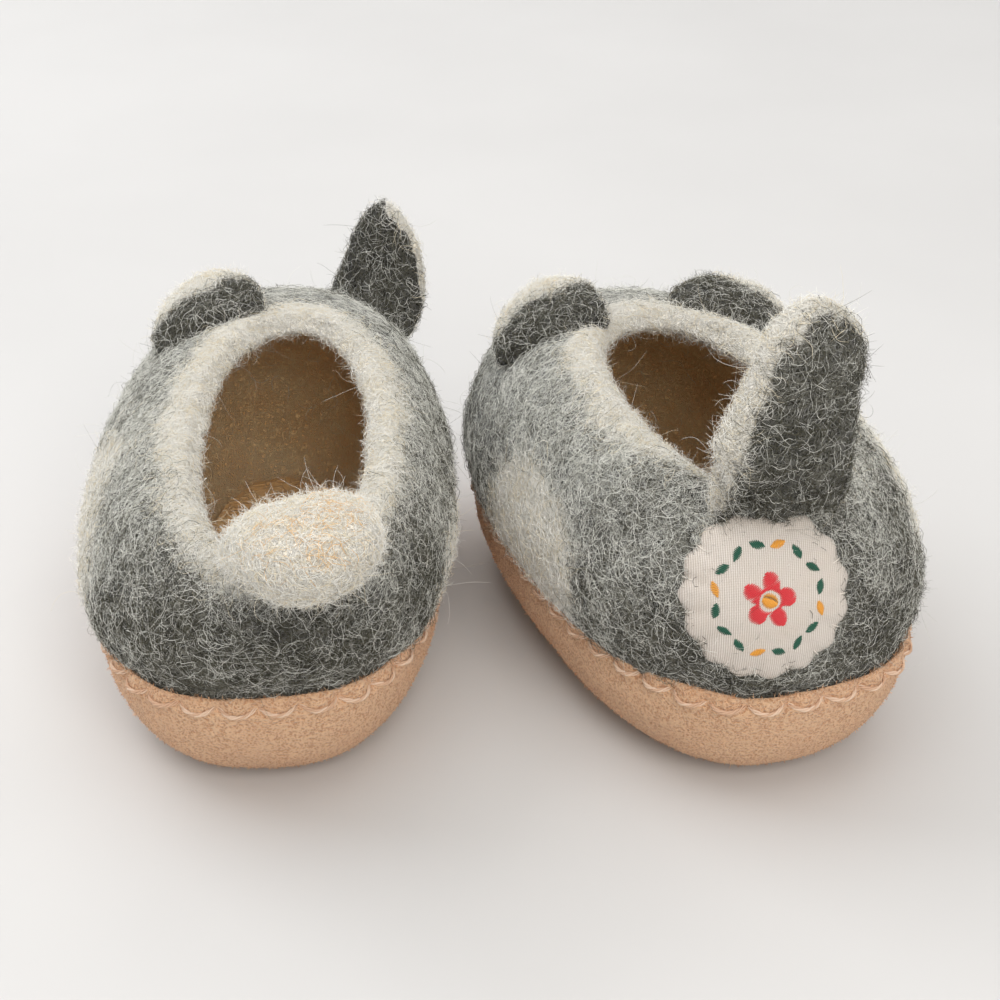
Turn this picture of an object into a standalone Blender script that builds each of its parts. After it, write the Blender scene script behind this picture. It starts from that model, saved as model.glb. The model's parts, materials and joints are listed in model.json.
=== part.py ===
"""A pair of child's slippers in wet-felted wool, made up as an animal with ears and a tail, on suede cup soles.

Run with: blender --background --python part.py
Metres, +Z up. The origin is on the floor, under the middle of the pair, and +Y points to the toes.
Each slipper is built in its own frame (origin on the floor under its middle, +Y to its toe) and then placed.
"""

import math

import bpy
from mathutils import Matrix, Vector

# ---------------------------------------------------------------- driving dimensions, in metres
LENGTH = 0.150  # heel to toe, outside
HEEL_HALF_WIDTH = 0.0418
BALL_HALF_WIDTH = 0.0426
HEEL_SQUARENESS = 2.65  # exponent of the superellipse of the heel end
TOE_SQUARENESS = 2.4
SEAM_HEIGHT = 0.0285  # top edge of the suede cup
SEAM_TUCK = 0.0024  # how far the seam lies inside the widest outline, which is a little above it
SOLE_INSET = 0.0185  # how far the edge of the flat tread lies inside the seam

COLLAR_FRONT_HEIGHT = 0.0735
COLLAR_LEAN = math.radians(79)  # how far the wall has turned over when it reaches the collar
FULLNESS = 0.40  # exponent: the smaller, the longer the wall stays upright before it turns over
HEEL_FULLNESS = 0.80
RISE = 1.2  # exponent of the wall's height

GAP = 0.0003  # between neighbouring pieces
SUEDE_THICKNESS = 0.0016
FELT_THICKNESS = 0.0030
LINING_THICKNESS = 0.0034
LINING_RISE = 0.0020  # the lining stands above the outer felt at the collar
INSOLE_THICKNESS = 0.0030
INSOLE_LEVEL = -0.90  # how far up the floor's rounded edge the insole reaches
FLARE_SPAN = 0.32  # share of the upper over which the felt swells out above the suede edge

THREAD_RADIUS = 0.00045
THREAD_DROP = 0.0040  # seam thread below the suede's top edge
THREAD_STEPS = 3  # points of the thread on each facet of the cup
STITCH_SAG = 0.0009

TAIL_LENGTH = 0.034
TAIL_BASE_HALF_WIDTH = 0.0155
TAIL_HALF_WIDTH = 0.0105
TAIL_HALF_THICKNESS = 0.0052
TAIL_COVER_THICKNESS = 0.0016
TAIL_COVER_SHARE = 0.84  # of the tail's length that the grey cover reaches
TAIL_SETBACK = 0.0045  # tail axis behind the back of the foot opening

EAR_HALF_WIDTH = 0.0130
EAR_HEIGHT = 0.0240
EAR_LAYER_THICKNESS = 0.0020
EAR_CUP = 0.0028  # how far the ear's middle bows back from its edges
EAR_CLEARANCE = 0.0026  # base of the ear above the felt, so that it can fold

LABEL_RADIUS = 0.0155
LABEL_THICKNESS = 0.0009
LABEL_SCALLOPS = 15
LABEL_SCALLOP_DEPTH = 0.0007

EYE_RADIUS = 0.0030
NOSE_RADIUS = 0.0052
FACE_RELIEF = 0.0009  # how far the smoothed toe lies inside its cage

AROUND = 32  # points round the slipper
LOWER_LEVELS = (-1, -0.72, -0.45, -0.22, -0.1)  # rows below the seam
UPPER_LEVELS = (0, 0.1, 0.22, 0.4, 0.6, 0.8, 1)  # rows from the seam to the collar

# ---------------------------------------------------------------- colours: base colour, roughness
FINISHES = {
    "grey_felt": ((0.23, 0.23, 0.21), 0.95),
    "dark_felt": ((0.10, 0.10, 0.09), 0.95),
    "cream_felt": ((0.78, 0.72, 0.60), 0.95),
    "suede": ((0.60, 0.36, 0.22), 0.90),
    "insole_felt": ((0.62, 0.50, 0.36), 0.95),
    "thread": ((0.80, 0.62, 0.50), 0.70),
    "label_cloth": ((0.78, 0.72, 0.66), 0.75),
    "black_felt": ((0.02, 0.02, 0.02), 0.85),
}

# collar: where the foot opening's front and back lie along the slipper, its half width, how far it is shifted to the
# right, and the heights of its back and its sides.
# tail: its angle round the collar, its lean back from upright, its turn to the right and its tilt to the right.
# ears: for the left and right ear, its angle round the body and its place up the wall, from the seam (0) to the
# collar (1), then how its base is turned on the felt and how far it leans away from the opening, in degrees.
SLIPPERS = {
    "left": {
        "collar": (0.0170, -0.0700, 0.0208, 0.0060, 0.0580, 0.0655),
        "place": (-0.0505, 0.0130),
        "yaw": 3.0,
        "tail": (-83.0, 79.0, 16.0, 0.0),
        "ears": {"left": (132.0, 0.90, 57.0, 81.0), "right": (57.0, 0.60, -7.0, -39.0)},
        "label": False,
    },
    "right": {
        "collar": (0.0215, -0.0600, 0.0200, -0.0010, 0.0670, 0.0710),
        "place": (0.0417, 0.0122),
        "yaw": 21.0,
        "tail": (-104.0, -4.0, -6.0, 7.0),
        "ears": {"left": (138.0, 0.86, 86.0, 83.0), "right": (38.0, 0.92, -30.0, 82.0)},
        "label": True,
    },
}


# ---------------------------------------------------------------- small helpers
def clear_scene():
    for obj in list(bpy.data.objects):
        bpy.data.objects.remove(obj, do_unlink=True)


def signed_power(value, exponent):
    return math.copysign(abs(value) ** exponent, value)


def smooth(value):
    value = min(max(value, 0.0), 1.0)
    return value * value * (3 - 2 * value)


def finish(name):
    """The Principled material of this name, made on first use."""
    material = bpy.data.materials.get(name)
    if material is None:
        colour, roughness = FINISHES[name]
        material = bpy.data.materials.new(name)
        material.use_nodes = True
        shader = material.node_tree.nodes["Principled BSDF"]
        shader.inputs["Base Color"].default_value = (*colour, 1.0)
        shader.inputs["Roughness"].default_value = roughness
        shader.inputs["Metallic"].default_value = 0.0
    return material


def add_object(name, data, parent, material):
    obj = bpy.data.objects.new(name, data)
    SLIPPER_PARTS.objects.link(obj)
    obj.parent = parent
    data.materials.append(finish(material))
    return obj


def loft(name, rings, parent, material, closed=True, cap_first=False, cap_last=False):
    """Joins rings of points, in order, into one skin. Points run anticlockwise seen from the last ring."""
    count = len(rings[0])
    points = [point for ring in rings for point in ring]
    faces = []
    for row in range(len(rings) - 1):
        for i in range(count if closed else count - 1):
            j = (i + 1) % count
            a, b = row * count, (row + 1) * count
            faces.append((a + i, a + j, b + j, b + i))
    if cap_first:
        faces.append(tuple(reversed(range(count))))
    if cap_last:
        last = (len(rings) - 1) * count
        faces.append(tuple(last + i for i in range(count)))
    mesh = bpy.data.meshes.new(name)
    mesh.from_pydata(points, [], faces)
    mesh.shade_smooth()
    return add_object(name, mesh, parent, material)


def thicken(obj, thickness, offset):
    """Solidify: offset -1 puts the thickness just inside the skin, +1 just outside it, -3 its own depth further in."""
    solidify = obj.modifiers.new("thickness", "SOLIDIFY")
    solidify.thickness = thickness
    solidify.offset = offset
    solidify.use_even_offset = False
    return obj


# ---------------------------------------------------------------- the slipper's body
def outline(angle, inset):
    """Widest outline of the body, drawn in by inset."""
    square = HEEL_SQUARENESS if math.sin(angle) < 0 else TOE_SQUARENESS
    along = signed_power(math.sin(angle), 2 / square)
    share = (along + 1) / 2
    swell = math.sin(math.pi * share**0.8)
    half = HEEL_HALF_WIDTH + (BALL_HALF_WIDTH - HEEL_HALF_WIDTH) * swell
    across = signed_power(math.cos(angle), 2 / square)
    return across * (half - inset), along * (LENGTH / 2 - inset)


def collar(angle, inset, shape):
    """Top edge of the body round the foot opening."""
    front, back, half_width, shift, back_height, side_height = shape
    forward = (math.sin(angle) + 1) / 2
    x = signed_power(math.cos(angle), 0.9) * (half_width - inset) + shift
    y = (front + back) / 2 + math.sin(angle) * ((front - back) / 2 - inset)
    end_height = back_height * (1 - forward) + COLLAR_FRONT_HEIGHT * forward
    middle = (back_height + COLLAR_FRONT_HEIGHT) / 2
    z = end_height - math.cos(angle) ** 2 * (middle - side_height)
    return x, y, z - inset


def body_point(angle, level, inset, shape):
    """A point of the body's skin. level runs from -1 at the tread's edge, over 0 at the seam, to 1 at the collar."""
    if level <= 0:
        x, y = outline(angle, inset + SEAM_TUCK)
        turn = -level * math.pi / 2
        drawn_in = SOLE_INSET * (1 - math.cos(turn))
        height = SEAM_HEIGHT - (SEAM_HEIGHT - inset) * math.sin(turn)
        return Vector((x * (1 - drawn_in / BALL_HALF_WIDTH), y * (1 - 2 * drawn_in / LENGTH), height))
    x, y = outline(angle, inset)
    top_x, top_y, top_z = collar(angle, inset, shape)
    turn = level * COLLAR_LEAN
    fullness = HEEL_FULLNESS + (FULLNESS - HEEL_FULLNESS) * smooth(1.3 * (math.sin(angle) + 1))
    end = math.cos(COLLAR_LEAN) ** fullness
    out = (math.cos(turn) ** fullness - end) / (1 - end)
    up = (math.sin(turn) / math.sin(COLLAR_LEAN)) ** RISE
    height = SEAM_HEIGHT + (top_z - SEAM_HEIGHT) * up
    return Vector((top_x + (x - top_x) * out, top_y + (y - top_y) * out, height))


def felt_inset(level):
    """How far the outer felt is drawn in: it lies inside the suede, and swells out above its edge."""
    tuck = SEAM_TUCK if level > 0 else 0
    return (SUEDE_THICKNESS + GAP + tuck) - (SUEDE_THICKNESS + GAP + SEAM_TUCK) * smooth(level / FLARE_SPAN)


def skin_point(angle, level, shape):
    """A point of the outer felt's outside."""
    return body_point(angle, level, felt_inset(level), shape)


def skin_frame(angle, level, shape):
    """(point, direction round the body, outward normal, direction up the wall) on the outer felt."""
    step = 1e-3
    point = skin_point(angle, level, shape)
    around = (skin_point(angle + step, level, shape) - skin_point(angle - step, level, shape)).normalized()
    upward = (skin_point(angle, level + step, shape) - skin_point(angle, level - step, shape)).normalized()
    normal = around.cross(upward).normalized()
    return point, around, normal, normal.cross(around)


def angles(count):
    """Angles round the body, starting at the heel."""
    return [-math.pi / 2 + 2 * math.pi * i / count for i in range(count)]


def ring(level, inset, shape):
    """Points round the body at one level."""
    return [body_point(a, level, inset, shape) for a in angles(AROUND)]


def bag(name, parent, shape, depth, thickness, rise, material):
    """A whole felt bag, open at the collar: its outside lies depth inside the body's skin."""
    rings = [ring(level, felt_inset(level), shape) for level in LOWER_LEVELS + UPPER_LEVELS]
    last, before = rings[-1], rings[-2]
    rings[-1] = [p + (p - q).normalized() * rise for p, q in zip(last, before)]
    obj = loft(name, rings, parent, material, cap_first=True)
    return thicken(obj, thickness, -1 - 2 * depth / thickness)


def make_sole(prefix, parent, shape):
    """Suede cup: a flat tread whose edge turns up to the seam."""
    rings = [ring(level, 0, shape) for level in LOWER_LEVELS + (0,)]
    obj = loft(prefix + "_sole", rings, parent, "suede", cap_first=True)
    return thicken(obj, SUEDE_THICKNESS, -1)


def make_insole(prefix, parent, shape):
    """Flat felt insole lying on the lining's floor."""
    floor = SUEDE_THICKNESS + FELT_THICKNESS + LINING_THICKNESS + 3 * GAP
    rings = []
    for height in (floor, floor + INSOLE_THICKNESS):
        rings.append([Vector((p.x, p.y, height)) for p in ring(INSOLE_LEVEL, floor, shape)])
    return loft(prefix + "_insole", rings, parent, "insole_felt", cap_first=True, cap_last=True)


def wire(name, points, radius, parent, material):
    """A closed loop of thread through the points."""
    curve = bpy.data.curves.new(name, "CURVE")
    curve.dimensions = "3D"
    curve.bevel_depth = radius
    curve.bevel_resolution = 0
    spline = curve.splines.new("POLY")
    spline.points.add(len(points) - 1)
    for knot, point in zip(spline.points, points):
        knot.co = (*point, 1.0)
    spline.use_cyclic_u = True
    return add_object(name, curve, parent, material)


def make_seam_thread(prefix, parent, shape):
    """Thread round the cup, sagging a little between one stitch hole and the next."""
    drop = THREAD_DROP / SEAM_HEIGHT * 2 / math.pi
    outside = -(THREAD_RADIUS + GAP)
    sag = STITCH_SAG / SEAM_HEIGHT
    upper, lower = ring(-drop, outside, shape), ring(-drop - sag, outside, shape)
    points = []
    for i in range(AROUND * THREAD_STEPS):
        row = lower if i % 2 else upper
        corner, step = divmod(i, THREAD_STEPS)
        points.append(row[corner].lerp(row[(corner + 1) % AROUND], step / THREAD_STEPS))
    return wire(prefix + "_seam_thread", points, THREAD_RADIUS, parent, "thread")


# ---------------------------------------------------------------- tail
def tail_section(height):
    """(half width, half thickness) of the tail at this height above its hinge axis."""
    taper = smooth(height / (0.45 * TAIL_LENGTH))
    half = TAIL_BASE_HALF_WIDTH + (TAIL_HALF_WIDTH - TAIL_BASE_HALF_WIDTH) * taper
    tip_start = TAIL_LENGTH - TAIL_HALF_WIDTH
    round_off = math.sqrt(max(1 - max(0, (height - tip_start) / TAIL_HALF_WIDTH) ** 2, 0))
    root = math.sqrt(max(1 - min(0, height / TAIL_HALF_THICKNESS) ** 2, 0))
    return half * round_off, TAIL_HALF_THICKNESS * root * (0.35 + 0.65 * round_off)


def tail_ring(height, count, grow=0.0, first=0.0, sweep=2 * math.pi):
    """Points round the tail, from the angle first (0 is +X, anticlockwise seen from the tip)."""
    half, thick = tail_section(height)
    half, thick = half + grow, thick + grow
    steps = count if sweep > 6.28 else count - 1
    turns = [first + sweep * i / steps for i in range(count)]
    return [Vector((half * math.cos(t), thick * math.sin(t), height)) for t in turns]


def tail_joint(prefix, parent, spec):
    """Empty on the tail's hinge axis, its Z along the tail."""
    angle, lean, turn, tilt = (math.radians(v) for v in spec["tail"])
    back = body_point(angle, 1, 0, spec["collar"])
    height = back.z + LINING_RISE + TAIL_HALF_THICKNESS + TAIL_COVER_THICKNESS + 4 * GAP
    joint = bpy.data.objects.new(prefix + "_tail_joint", None)
    SLIPPER_PARTS.objects.link(joint)
    joint.parent = parent
    joint.location = (back.x, back.y - TAIL_SETBACK, height)
    rotation = Matrix.Rotation(turn, 3, "Z") @ Matrix.Rotation(tilt, 3, "Y") @ Matrix.Rotation(lean, 3, "X")
    joint.rotation_euler = rotation.to_euler()
    return joint


def make_tail(prefix, joint):
    """Cream core with a grey cover felted over its back."""
    root = [-TAIL_HALF_THICKNESS * math.cos(math.radians(a)) for a in (18, 50)]
    shaft = [TAIL_LENGTH * share for share in (0.0, 0.15, 0.30, 0.45, 0.62)]
    tip = [TAIL_LENGTH - TAIL_HALF_WIDTH * (1 - math.sin(math.radians(a))) for a in (0, 30, 58, 80)]
    rings = [tail_ring(height, 14) for height in root + shaft + tip]
    loft(prefix + "_tail_core", rings, joint, "cream_felt", cap_first=True, cap_last=True)
    top = TAIL_LENGTH * TAIL_COVER_SHARE
    heights = [top * share for share in (0.0, 0.2, 0.4, 0.6, 0.8, 1.0)]
    # The cover wraps the back of the tail, the side away from the toe.
    start, sweep = math.radians(180 + 14), math.radians(180 - 28)
    rings = [tail_ring(height, 9, GAP, start, sweep) for height in heights]
    cover = loft(prefix + "_tail_cover", rings, joint, "grey_felt", closed=False)
    thicken(cover, TAIL_COVER_THICKNESS, 1)


# ---------------------------------------------------------------- ears
def ear_joint(prefix, which, parent, spec):
    """Empty at the middle of an ear's base: X along the base, Z up the ear, Y towards the toe side."""
    angle, level, turn, lean = spec["ears"][which]
    angle, turn, lean = math.radians(angle), math.radians(turn), math.radians(lean)
    point, around, normal, upward = skin_frame(angle, level, spec["collar"])
    along = -around * math.cos(turn) + upward * math.sin(turn)
    downhill = normal.cross(along)
    up = (normal * math.cos(lean) + downhill * math.sin(lean)).normalized()
    front = up.cross(along).normalized()
    rotation = Matrix((along, front, up)).transposed()
    joint = bpy.data.objects.new(f"{prefix}_{which}_ear_joint", None)
    SLIPPER_PARTS.objects.link(joint)
    joint.parent = parent
    joint.location = point + normal * EAR_CLEARANCE
    joint.rotation_euler = rotation.to_euler()
    return joint


def ear_bow(x, height):
    """How far the ear's surface lies towards the toe here: straight at the base, cupped above it."""
    return EAR_CUP * (x / EAR_HALF_WIDTH) ** 2 * smooth(height / (0.4 * EAR_HEIGHT))


def ear_layer(name, joint, scale, offset, material):
    """One leaf of felt, cupped across its width and pointed at the tip."""
    columns, rows = 6, 6
    rings = []
    for row in range(rows + 1):
        share = row / rows
        half = EAR_HALF_WIDTH * scale * (1 - 0.88 * share**2.5) * (1 + 0.10 * math.sin(math.pi * share))
        ring = []
        height = share * EAR_HEIGHT * scale
        for column in range(columns + 1):
            x = (column / columns * 2 - 1) * half
            ring.append(Vector((x, offset + ear_bow(x, height), height)))
        rings.append(ring)
    leaf = loft(name, rings, joint, material, closed=False)
    return thicken(leaf, EAR_LAYER_THICKNESS, 0)


def make_ear(prefix, which, joint):
    """Dark leaf on the opening's side, cream leaf on the toe's side."""
    half_pitch = (EAR_LAYER_THICKNESS + GAP) / 2
    ear_layer(f"{prefix}_{which}_ear_back", joint, 0.94, -half_pitch, "dark_felt")
    ear_layer(f"{prefix}_{which}_ear_front", joint, 1.0, half_pitch, "cream_felt")


# ---------------------------------------------------------------- label, eyes and nose
def on_skin(angle, level, shape, x, y, lift):
    """The point x round and y up from a place on the felt, lifted off it."""
    step = 1e-3
    here = skin_point(angle, level, shape)
    per_angle = (skin_point(angle + step, level, shape) - here).length / step
    per_level = (skin_point(angle, level + step, shape) - here).length / step
    point, _, normal, _ = skin_frame(angle + x / per_angle, level + y / per_level, shape)
    return point + normal * lift


def make_label(prefix, parent, shape):
    """Round cloth patch with a scalloped hem, lying on the back of the heel, and the thread that tacks it down."""
    angle, level = math.radians(-109), 0.52
    count = LABEL_SCALLOPS * 3

    def radius(turn):
        wave = abs(math.sin(LABEL_SCALLOPS * turn / 2))
        return LABEL_RADIUS - LABEL_SCALLOP_DEPTH * (1 - wave)

    turns = [2 * math.pi * (i + 0.5) / count for i in range(count)]

    def hem(share, extra, lift):
        return [
            on_skin(
                angle,
                level,
                shape,
                (radius(t) * share + extra) * math.cos(t),
                (radius(t) * share + extra) * math.sin(t),
                lift,
            )
            for t in turns
        ]

    rings = [hem(share, 0, 2 * GAP) for share in (1.0, 0.72, 0.38)]
    disc = loft(prefix + "_label", rings, parent, "label_cloth", cap_last=True)
    thicken(disc, LABEL_THICKNESS, 1)
    radius_of_thread = 0.00025
    points = hem(1.0, radius_of_thread + 2 * GAP, radius_of_thread + 2 * GAP)
    wire(prefix + "_label_thread", points, radius_of_thread, parent, "thread")


def make_button(name, parent, shape, angle, level, radius, flatten, material):
    """A small felt ball sewn against the body."""
    point, around, normal, upward = skin_frame(angle, level, shape)
    mesh = bpy.data.meshes.new(name)
    obj = add_object(name, mesh, parent, material)
    profile = []
    for row in range(1, 6):
        turn = math.pi * row / 6
        profile.append((radius * math.sin(turn), -radius * flatten * math.cos(turn)))
    points, faces, count = [], [], 10
    for width, height in profile:
        for i in range(count):
            t = 2 * math.pi * i / count
            points.append((width * math.cos(t), width * math.sin(t), height))
    for row in range(len(profile) - 1):
        for i in range(count):
            j = (i + 1) % count
            a, b = row * count, (row + 1) * count
            faces.append((a + i, a + j, b + j, b + i))
    faces.append(tuple(reversed(range(count))))
    faces.append(tuple((len(profile) - 1) * count + i for i in range(count)))
    mesh.from_pydata(points, [], faces)
    mesh.shade_smooth()
    obj.location = point + normal * (radius * flatten + 2 * GAP - FACE_RELIEF)
    obj.rotation_euler = Matrix((around, upward, normal)).transposed().to_euler()
    return obj


def make_face(prefix, parent, shape):
    """Two eyes and a nose on the toe, below the ears."""
    toe = math.pi / 2
    for which, offset in (("left", 0.30), ("right", -0.30)):
        make_button(f"{prefix}_{which}_eye", parent, shape, toe + offset, 0.38, EYE_RADIUS, 0.7, "black_felt")
    make_button(prefix + "_nose", parent, shape, toe, 0.16, NOSE_RADIUS, 0.75, "black_felt")


# ---------------------------------------------------------------- assembly
def make_slipper(prefix, spec):
    shape = spec["collar"]
    base = bpy.data.objects.new(prefix + "_slipper", None)
    SLIPPER_PARTS.objects.link(base)
    base.location = (*spec["place"], 0)
    base.rotation_euler = (0, 0, math.radians(spec["yaw"]))
    make_sole(prefix, base, shape)
    make_seam_thread(prefix, base, shape)
    bag(prefix + "_felt_outer", base, shape, 0, FELT_THICKNESS, 0, "grey_felt")
    inner = FELT_THICKNESS + GAP
    bag(prefix + "_felt_lining", base, shape, inner, LINING_THICKNESS, LINING_RISE, "cream_felt")
    make_insole(prefix, base, shape)
    make_tail(prefix, tail_joint(prefix, base, spec))
    for which in ("left", "right"):
        make_ear(prefix, which, ear_joint(prefix, which, base, spec))
    make_face(prefix, base, shape)
    if spec["label"]:
        make_label(prefix, base, shape)


clear_scene()
SLIPPER_PARTS = bpy.data.collections.new("felt_slippers")
bpy.context.scene.collection.children.link(SLIPPER_PARTS)
for slipper_name, slipper_spec in SLIPPERS.items():
    make_slipper(slipper_name, slipper_spec)
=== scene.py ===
"""The looks of the pair of felt animal slippers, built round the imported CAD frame.

The grey felt body, the ears and the tails are meshes covered with curled wool fibres, which are meshes too.
Metres, +Z up, +Y to the toes, as in the frame.
"""

import json
import math

import bmesh
import bpy
import numpy as np
from mathutils import Vector, noise
from mathutils.bvhtree import BVHTree
from mathutils.kdtree import KDTree
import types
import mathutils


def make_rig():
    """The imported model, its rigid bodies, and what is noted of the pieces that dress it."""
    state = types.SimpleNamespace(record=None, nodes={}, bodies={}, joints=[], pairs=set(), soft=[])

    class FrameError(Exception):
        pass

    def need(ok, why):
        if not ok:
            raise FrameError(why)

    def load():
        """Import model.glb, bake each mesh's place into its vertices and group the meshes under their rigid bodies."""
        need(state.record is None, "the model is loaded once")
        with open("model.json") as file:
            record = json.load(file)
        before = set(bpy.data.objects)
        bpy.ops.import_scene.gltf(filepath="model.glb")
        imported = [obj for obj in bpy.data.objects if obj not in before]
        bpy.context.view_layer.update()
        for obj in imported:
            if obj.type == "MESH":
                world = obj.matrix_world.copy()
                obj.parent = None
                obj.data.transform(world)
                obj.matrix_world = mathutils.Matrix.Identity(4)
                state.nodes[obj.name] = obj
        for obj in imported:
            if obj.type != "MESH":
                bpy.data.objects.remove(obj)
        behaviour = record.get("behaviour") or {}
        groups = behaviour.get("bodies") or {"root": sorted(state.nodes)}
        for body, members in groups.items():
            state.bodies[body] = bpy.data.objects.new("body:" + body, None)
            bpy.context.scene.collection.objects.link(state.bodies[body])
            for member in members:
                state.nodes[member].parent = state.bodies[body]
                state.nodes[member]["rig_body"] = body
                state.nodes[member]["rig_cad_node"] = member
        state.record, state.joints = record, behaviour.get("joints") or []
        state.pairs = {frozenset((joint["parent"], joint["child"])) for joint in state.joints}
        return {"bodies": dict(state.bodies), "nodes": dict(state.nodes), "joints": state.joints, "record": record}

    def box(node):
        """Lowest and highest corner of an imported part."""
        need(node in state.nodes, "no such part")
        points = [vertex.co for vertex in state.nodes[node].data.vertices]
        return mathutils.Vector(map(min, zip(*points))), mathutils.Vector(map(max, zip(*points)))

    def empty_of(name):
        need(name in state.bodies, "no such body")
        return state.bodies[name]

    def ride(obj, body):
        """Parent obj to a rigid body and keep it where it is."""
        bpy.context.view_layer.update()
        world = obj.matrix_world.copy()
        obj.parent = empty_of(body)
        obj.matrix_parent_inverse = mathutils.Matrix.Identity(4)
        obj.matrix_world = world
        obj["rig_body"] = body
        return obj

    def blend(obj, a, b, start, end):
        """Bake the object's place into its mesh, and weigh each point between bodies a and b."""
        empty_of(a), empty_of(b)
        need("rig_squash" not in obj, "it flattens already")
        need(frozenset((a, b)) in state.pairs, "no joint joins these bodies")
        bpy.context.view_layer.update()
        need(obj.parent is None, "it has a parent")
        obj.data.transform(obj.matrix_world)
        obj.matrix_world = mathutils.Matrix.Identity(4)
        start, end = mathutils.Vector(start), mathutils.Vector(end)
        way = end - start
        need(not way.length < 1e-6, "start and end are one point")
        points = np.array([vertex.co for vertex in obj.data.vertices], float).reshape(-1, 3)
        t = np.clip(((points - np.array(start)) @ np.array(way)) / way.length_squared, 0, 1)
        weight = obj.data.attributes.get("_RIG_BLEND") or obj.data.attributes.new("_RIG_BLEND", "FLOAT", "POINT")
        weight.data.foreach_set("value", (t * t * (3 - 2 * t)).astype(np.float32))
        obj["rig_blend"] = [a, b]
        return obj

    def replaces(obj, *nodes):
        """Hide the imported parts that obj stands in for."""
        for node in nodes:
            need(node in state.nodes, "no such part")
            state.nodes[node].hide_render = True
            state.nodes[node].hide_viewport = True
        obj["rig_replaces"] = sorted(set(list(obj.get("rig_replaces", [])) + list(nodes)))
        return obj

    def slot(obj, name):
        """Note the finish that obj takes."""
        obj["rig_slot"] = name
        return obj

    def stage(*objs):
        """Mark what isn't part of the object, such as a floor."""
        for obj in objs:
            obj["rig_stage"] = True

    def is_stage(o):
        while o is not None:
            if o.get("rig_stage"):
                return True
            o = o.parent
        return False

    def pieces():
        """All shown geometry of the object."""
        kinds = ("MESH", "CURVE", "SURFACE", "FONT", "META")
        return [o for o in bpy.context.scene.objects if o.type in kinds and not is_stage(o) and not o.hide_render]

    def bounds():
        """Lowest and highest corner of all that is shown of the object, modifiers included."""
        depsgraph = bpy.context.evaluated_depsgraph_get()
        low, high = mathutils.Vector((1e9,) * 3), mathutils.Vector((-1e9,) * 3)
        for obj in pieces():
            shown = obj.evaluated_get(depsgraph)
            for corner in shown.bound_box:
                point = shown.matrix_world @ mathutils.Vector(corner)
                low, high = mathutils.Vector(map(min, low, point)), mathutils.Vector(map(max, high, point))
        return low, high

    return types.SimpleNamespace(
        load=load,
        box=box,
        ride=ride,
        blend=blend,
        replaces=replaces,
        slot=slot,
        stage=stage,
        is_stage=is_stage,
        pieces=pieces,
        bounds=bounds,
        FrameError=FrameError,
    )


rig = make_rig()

MM = 0.001
SIDES = ("left", "right")

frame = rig.load()
CAD_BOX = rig.bounds()
JOINTS = {j["name"]: j for j in frame["joints"]}


# --- meshes as arrays
def unit(v):
    return v / np.maximum(np.linalg.norm(v, axis=-1, keepdims=True), 1e-12)


def smooth(value, low=0.0, high=1.0):
    t = np.clip((np.asarray(value, float) - low) / (high - low), 0, 1)
    return t * t * (3 - 2 * t)


def link(obj):
    bpy.context.scene.collection.objects.link(obj)
    return obj


def fast_object(name, verts, loops, sizes, materials, slots=None):
    """A mesh object from its corners, the corners of all faces in one row, and the sizes of the faces."""
    mesh = bpy.data.meshes.new(name)
    mesh.vertices.add(len(verts))
    mesh.vertices.foreach_set("co", np.asarray(verts, np.float32).ravel())
    mesh.loops.add(len(loops))
    mesh.loops.foreach_set("vertex_index", np.asarray(loops, np.int32))
    mesh.polygons.add(len(sizes))
    starts = np.concatenate(([0], np.cumsum(sizes)[:-1])).astype(np.int32)
    mesh.polygons.foreach_set("loop_start", starts)
    for m in materials:
        mesh.materials.append(m)
    if slots is not None:
        mesh.polygons.foreach_set("material_index", np.asarray(slots, np.int32))
    mesh.update(calc_edges=True)
    mesh.validate()
    mesh.shade_smooth()
    return link(bpy.data.objects.new(name, mesh))


def new_object(name, verts, faces, materials):
    """A mesh object from lists of corners and faces."""
    return fast_object(name, verts, np.concatenate(faces), [len(f) for f in faces], materials)


def coords(obj):
    co = np.zeros(len(obj.data.vertices) * 3)
    obj.data.vertices.foreach_get("co", co)
    return co.reshape(-1, 3)


def set_coords(obj, co):
    obj.data.vertices.foreach_set("co", np.asarray(co, np.float32).ravel())
    obj.data.update()


def normals(obj):
    no = np.zeros(len(obj.data.vertices) * 3, np.float32)
    obj.data.vertices.foreach_get("normal", no)
    return no.reshape(-1, 3).astype(float)


def set_attributes(obj, **named):
    """Numbers at each corner of the mesh, for its material and its fibres to read."""
    for name, values in named.items():
        attribute = obj.data.attributes.get(name) or obj.data.attributes.new(name, "FLOAT", "POINT")
        attribute.data.foreach_set("value", np.asarray(values, np.float32))


def get_attributes(obj, *names):
    found = []
    for name in names:
        values = np.zeros(len(obj.data.vertices), np.float32)
        obj.data.attributes[name].data.foreach_get("value", values)
        found.append(values.astype(float))
    return found


def apply_modifiers(obj):
    bpy.context.view_layer.update()
    graph = bpy.context.evaluated_depsgraph_get()
    mesh = bpy.data.meshes.new_from_object(obj.evaluated_get(graph))
    materials = list(obj.data.materials)
    obj.modifiers.clear()
    obj.data = mesh
    mesh.materials.clear()
    for m in materials:
        mesh.materials.append(m)
    mesh.shade_smooth()
    return obj


def subdivide(obj, levels):
    modifier = obj.modifiers.new("smooth", "SUBSURF")
    modifier.levels = levels
    modifier.render_levels = levels
    return apply_modifiers(obj)


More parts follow.
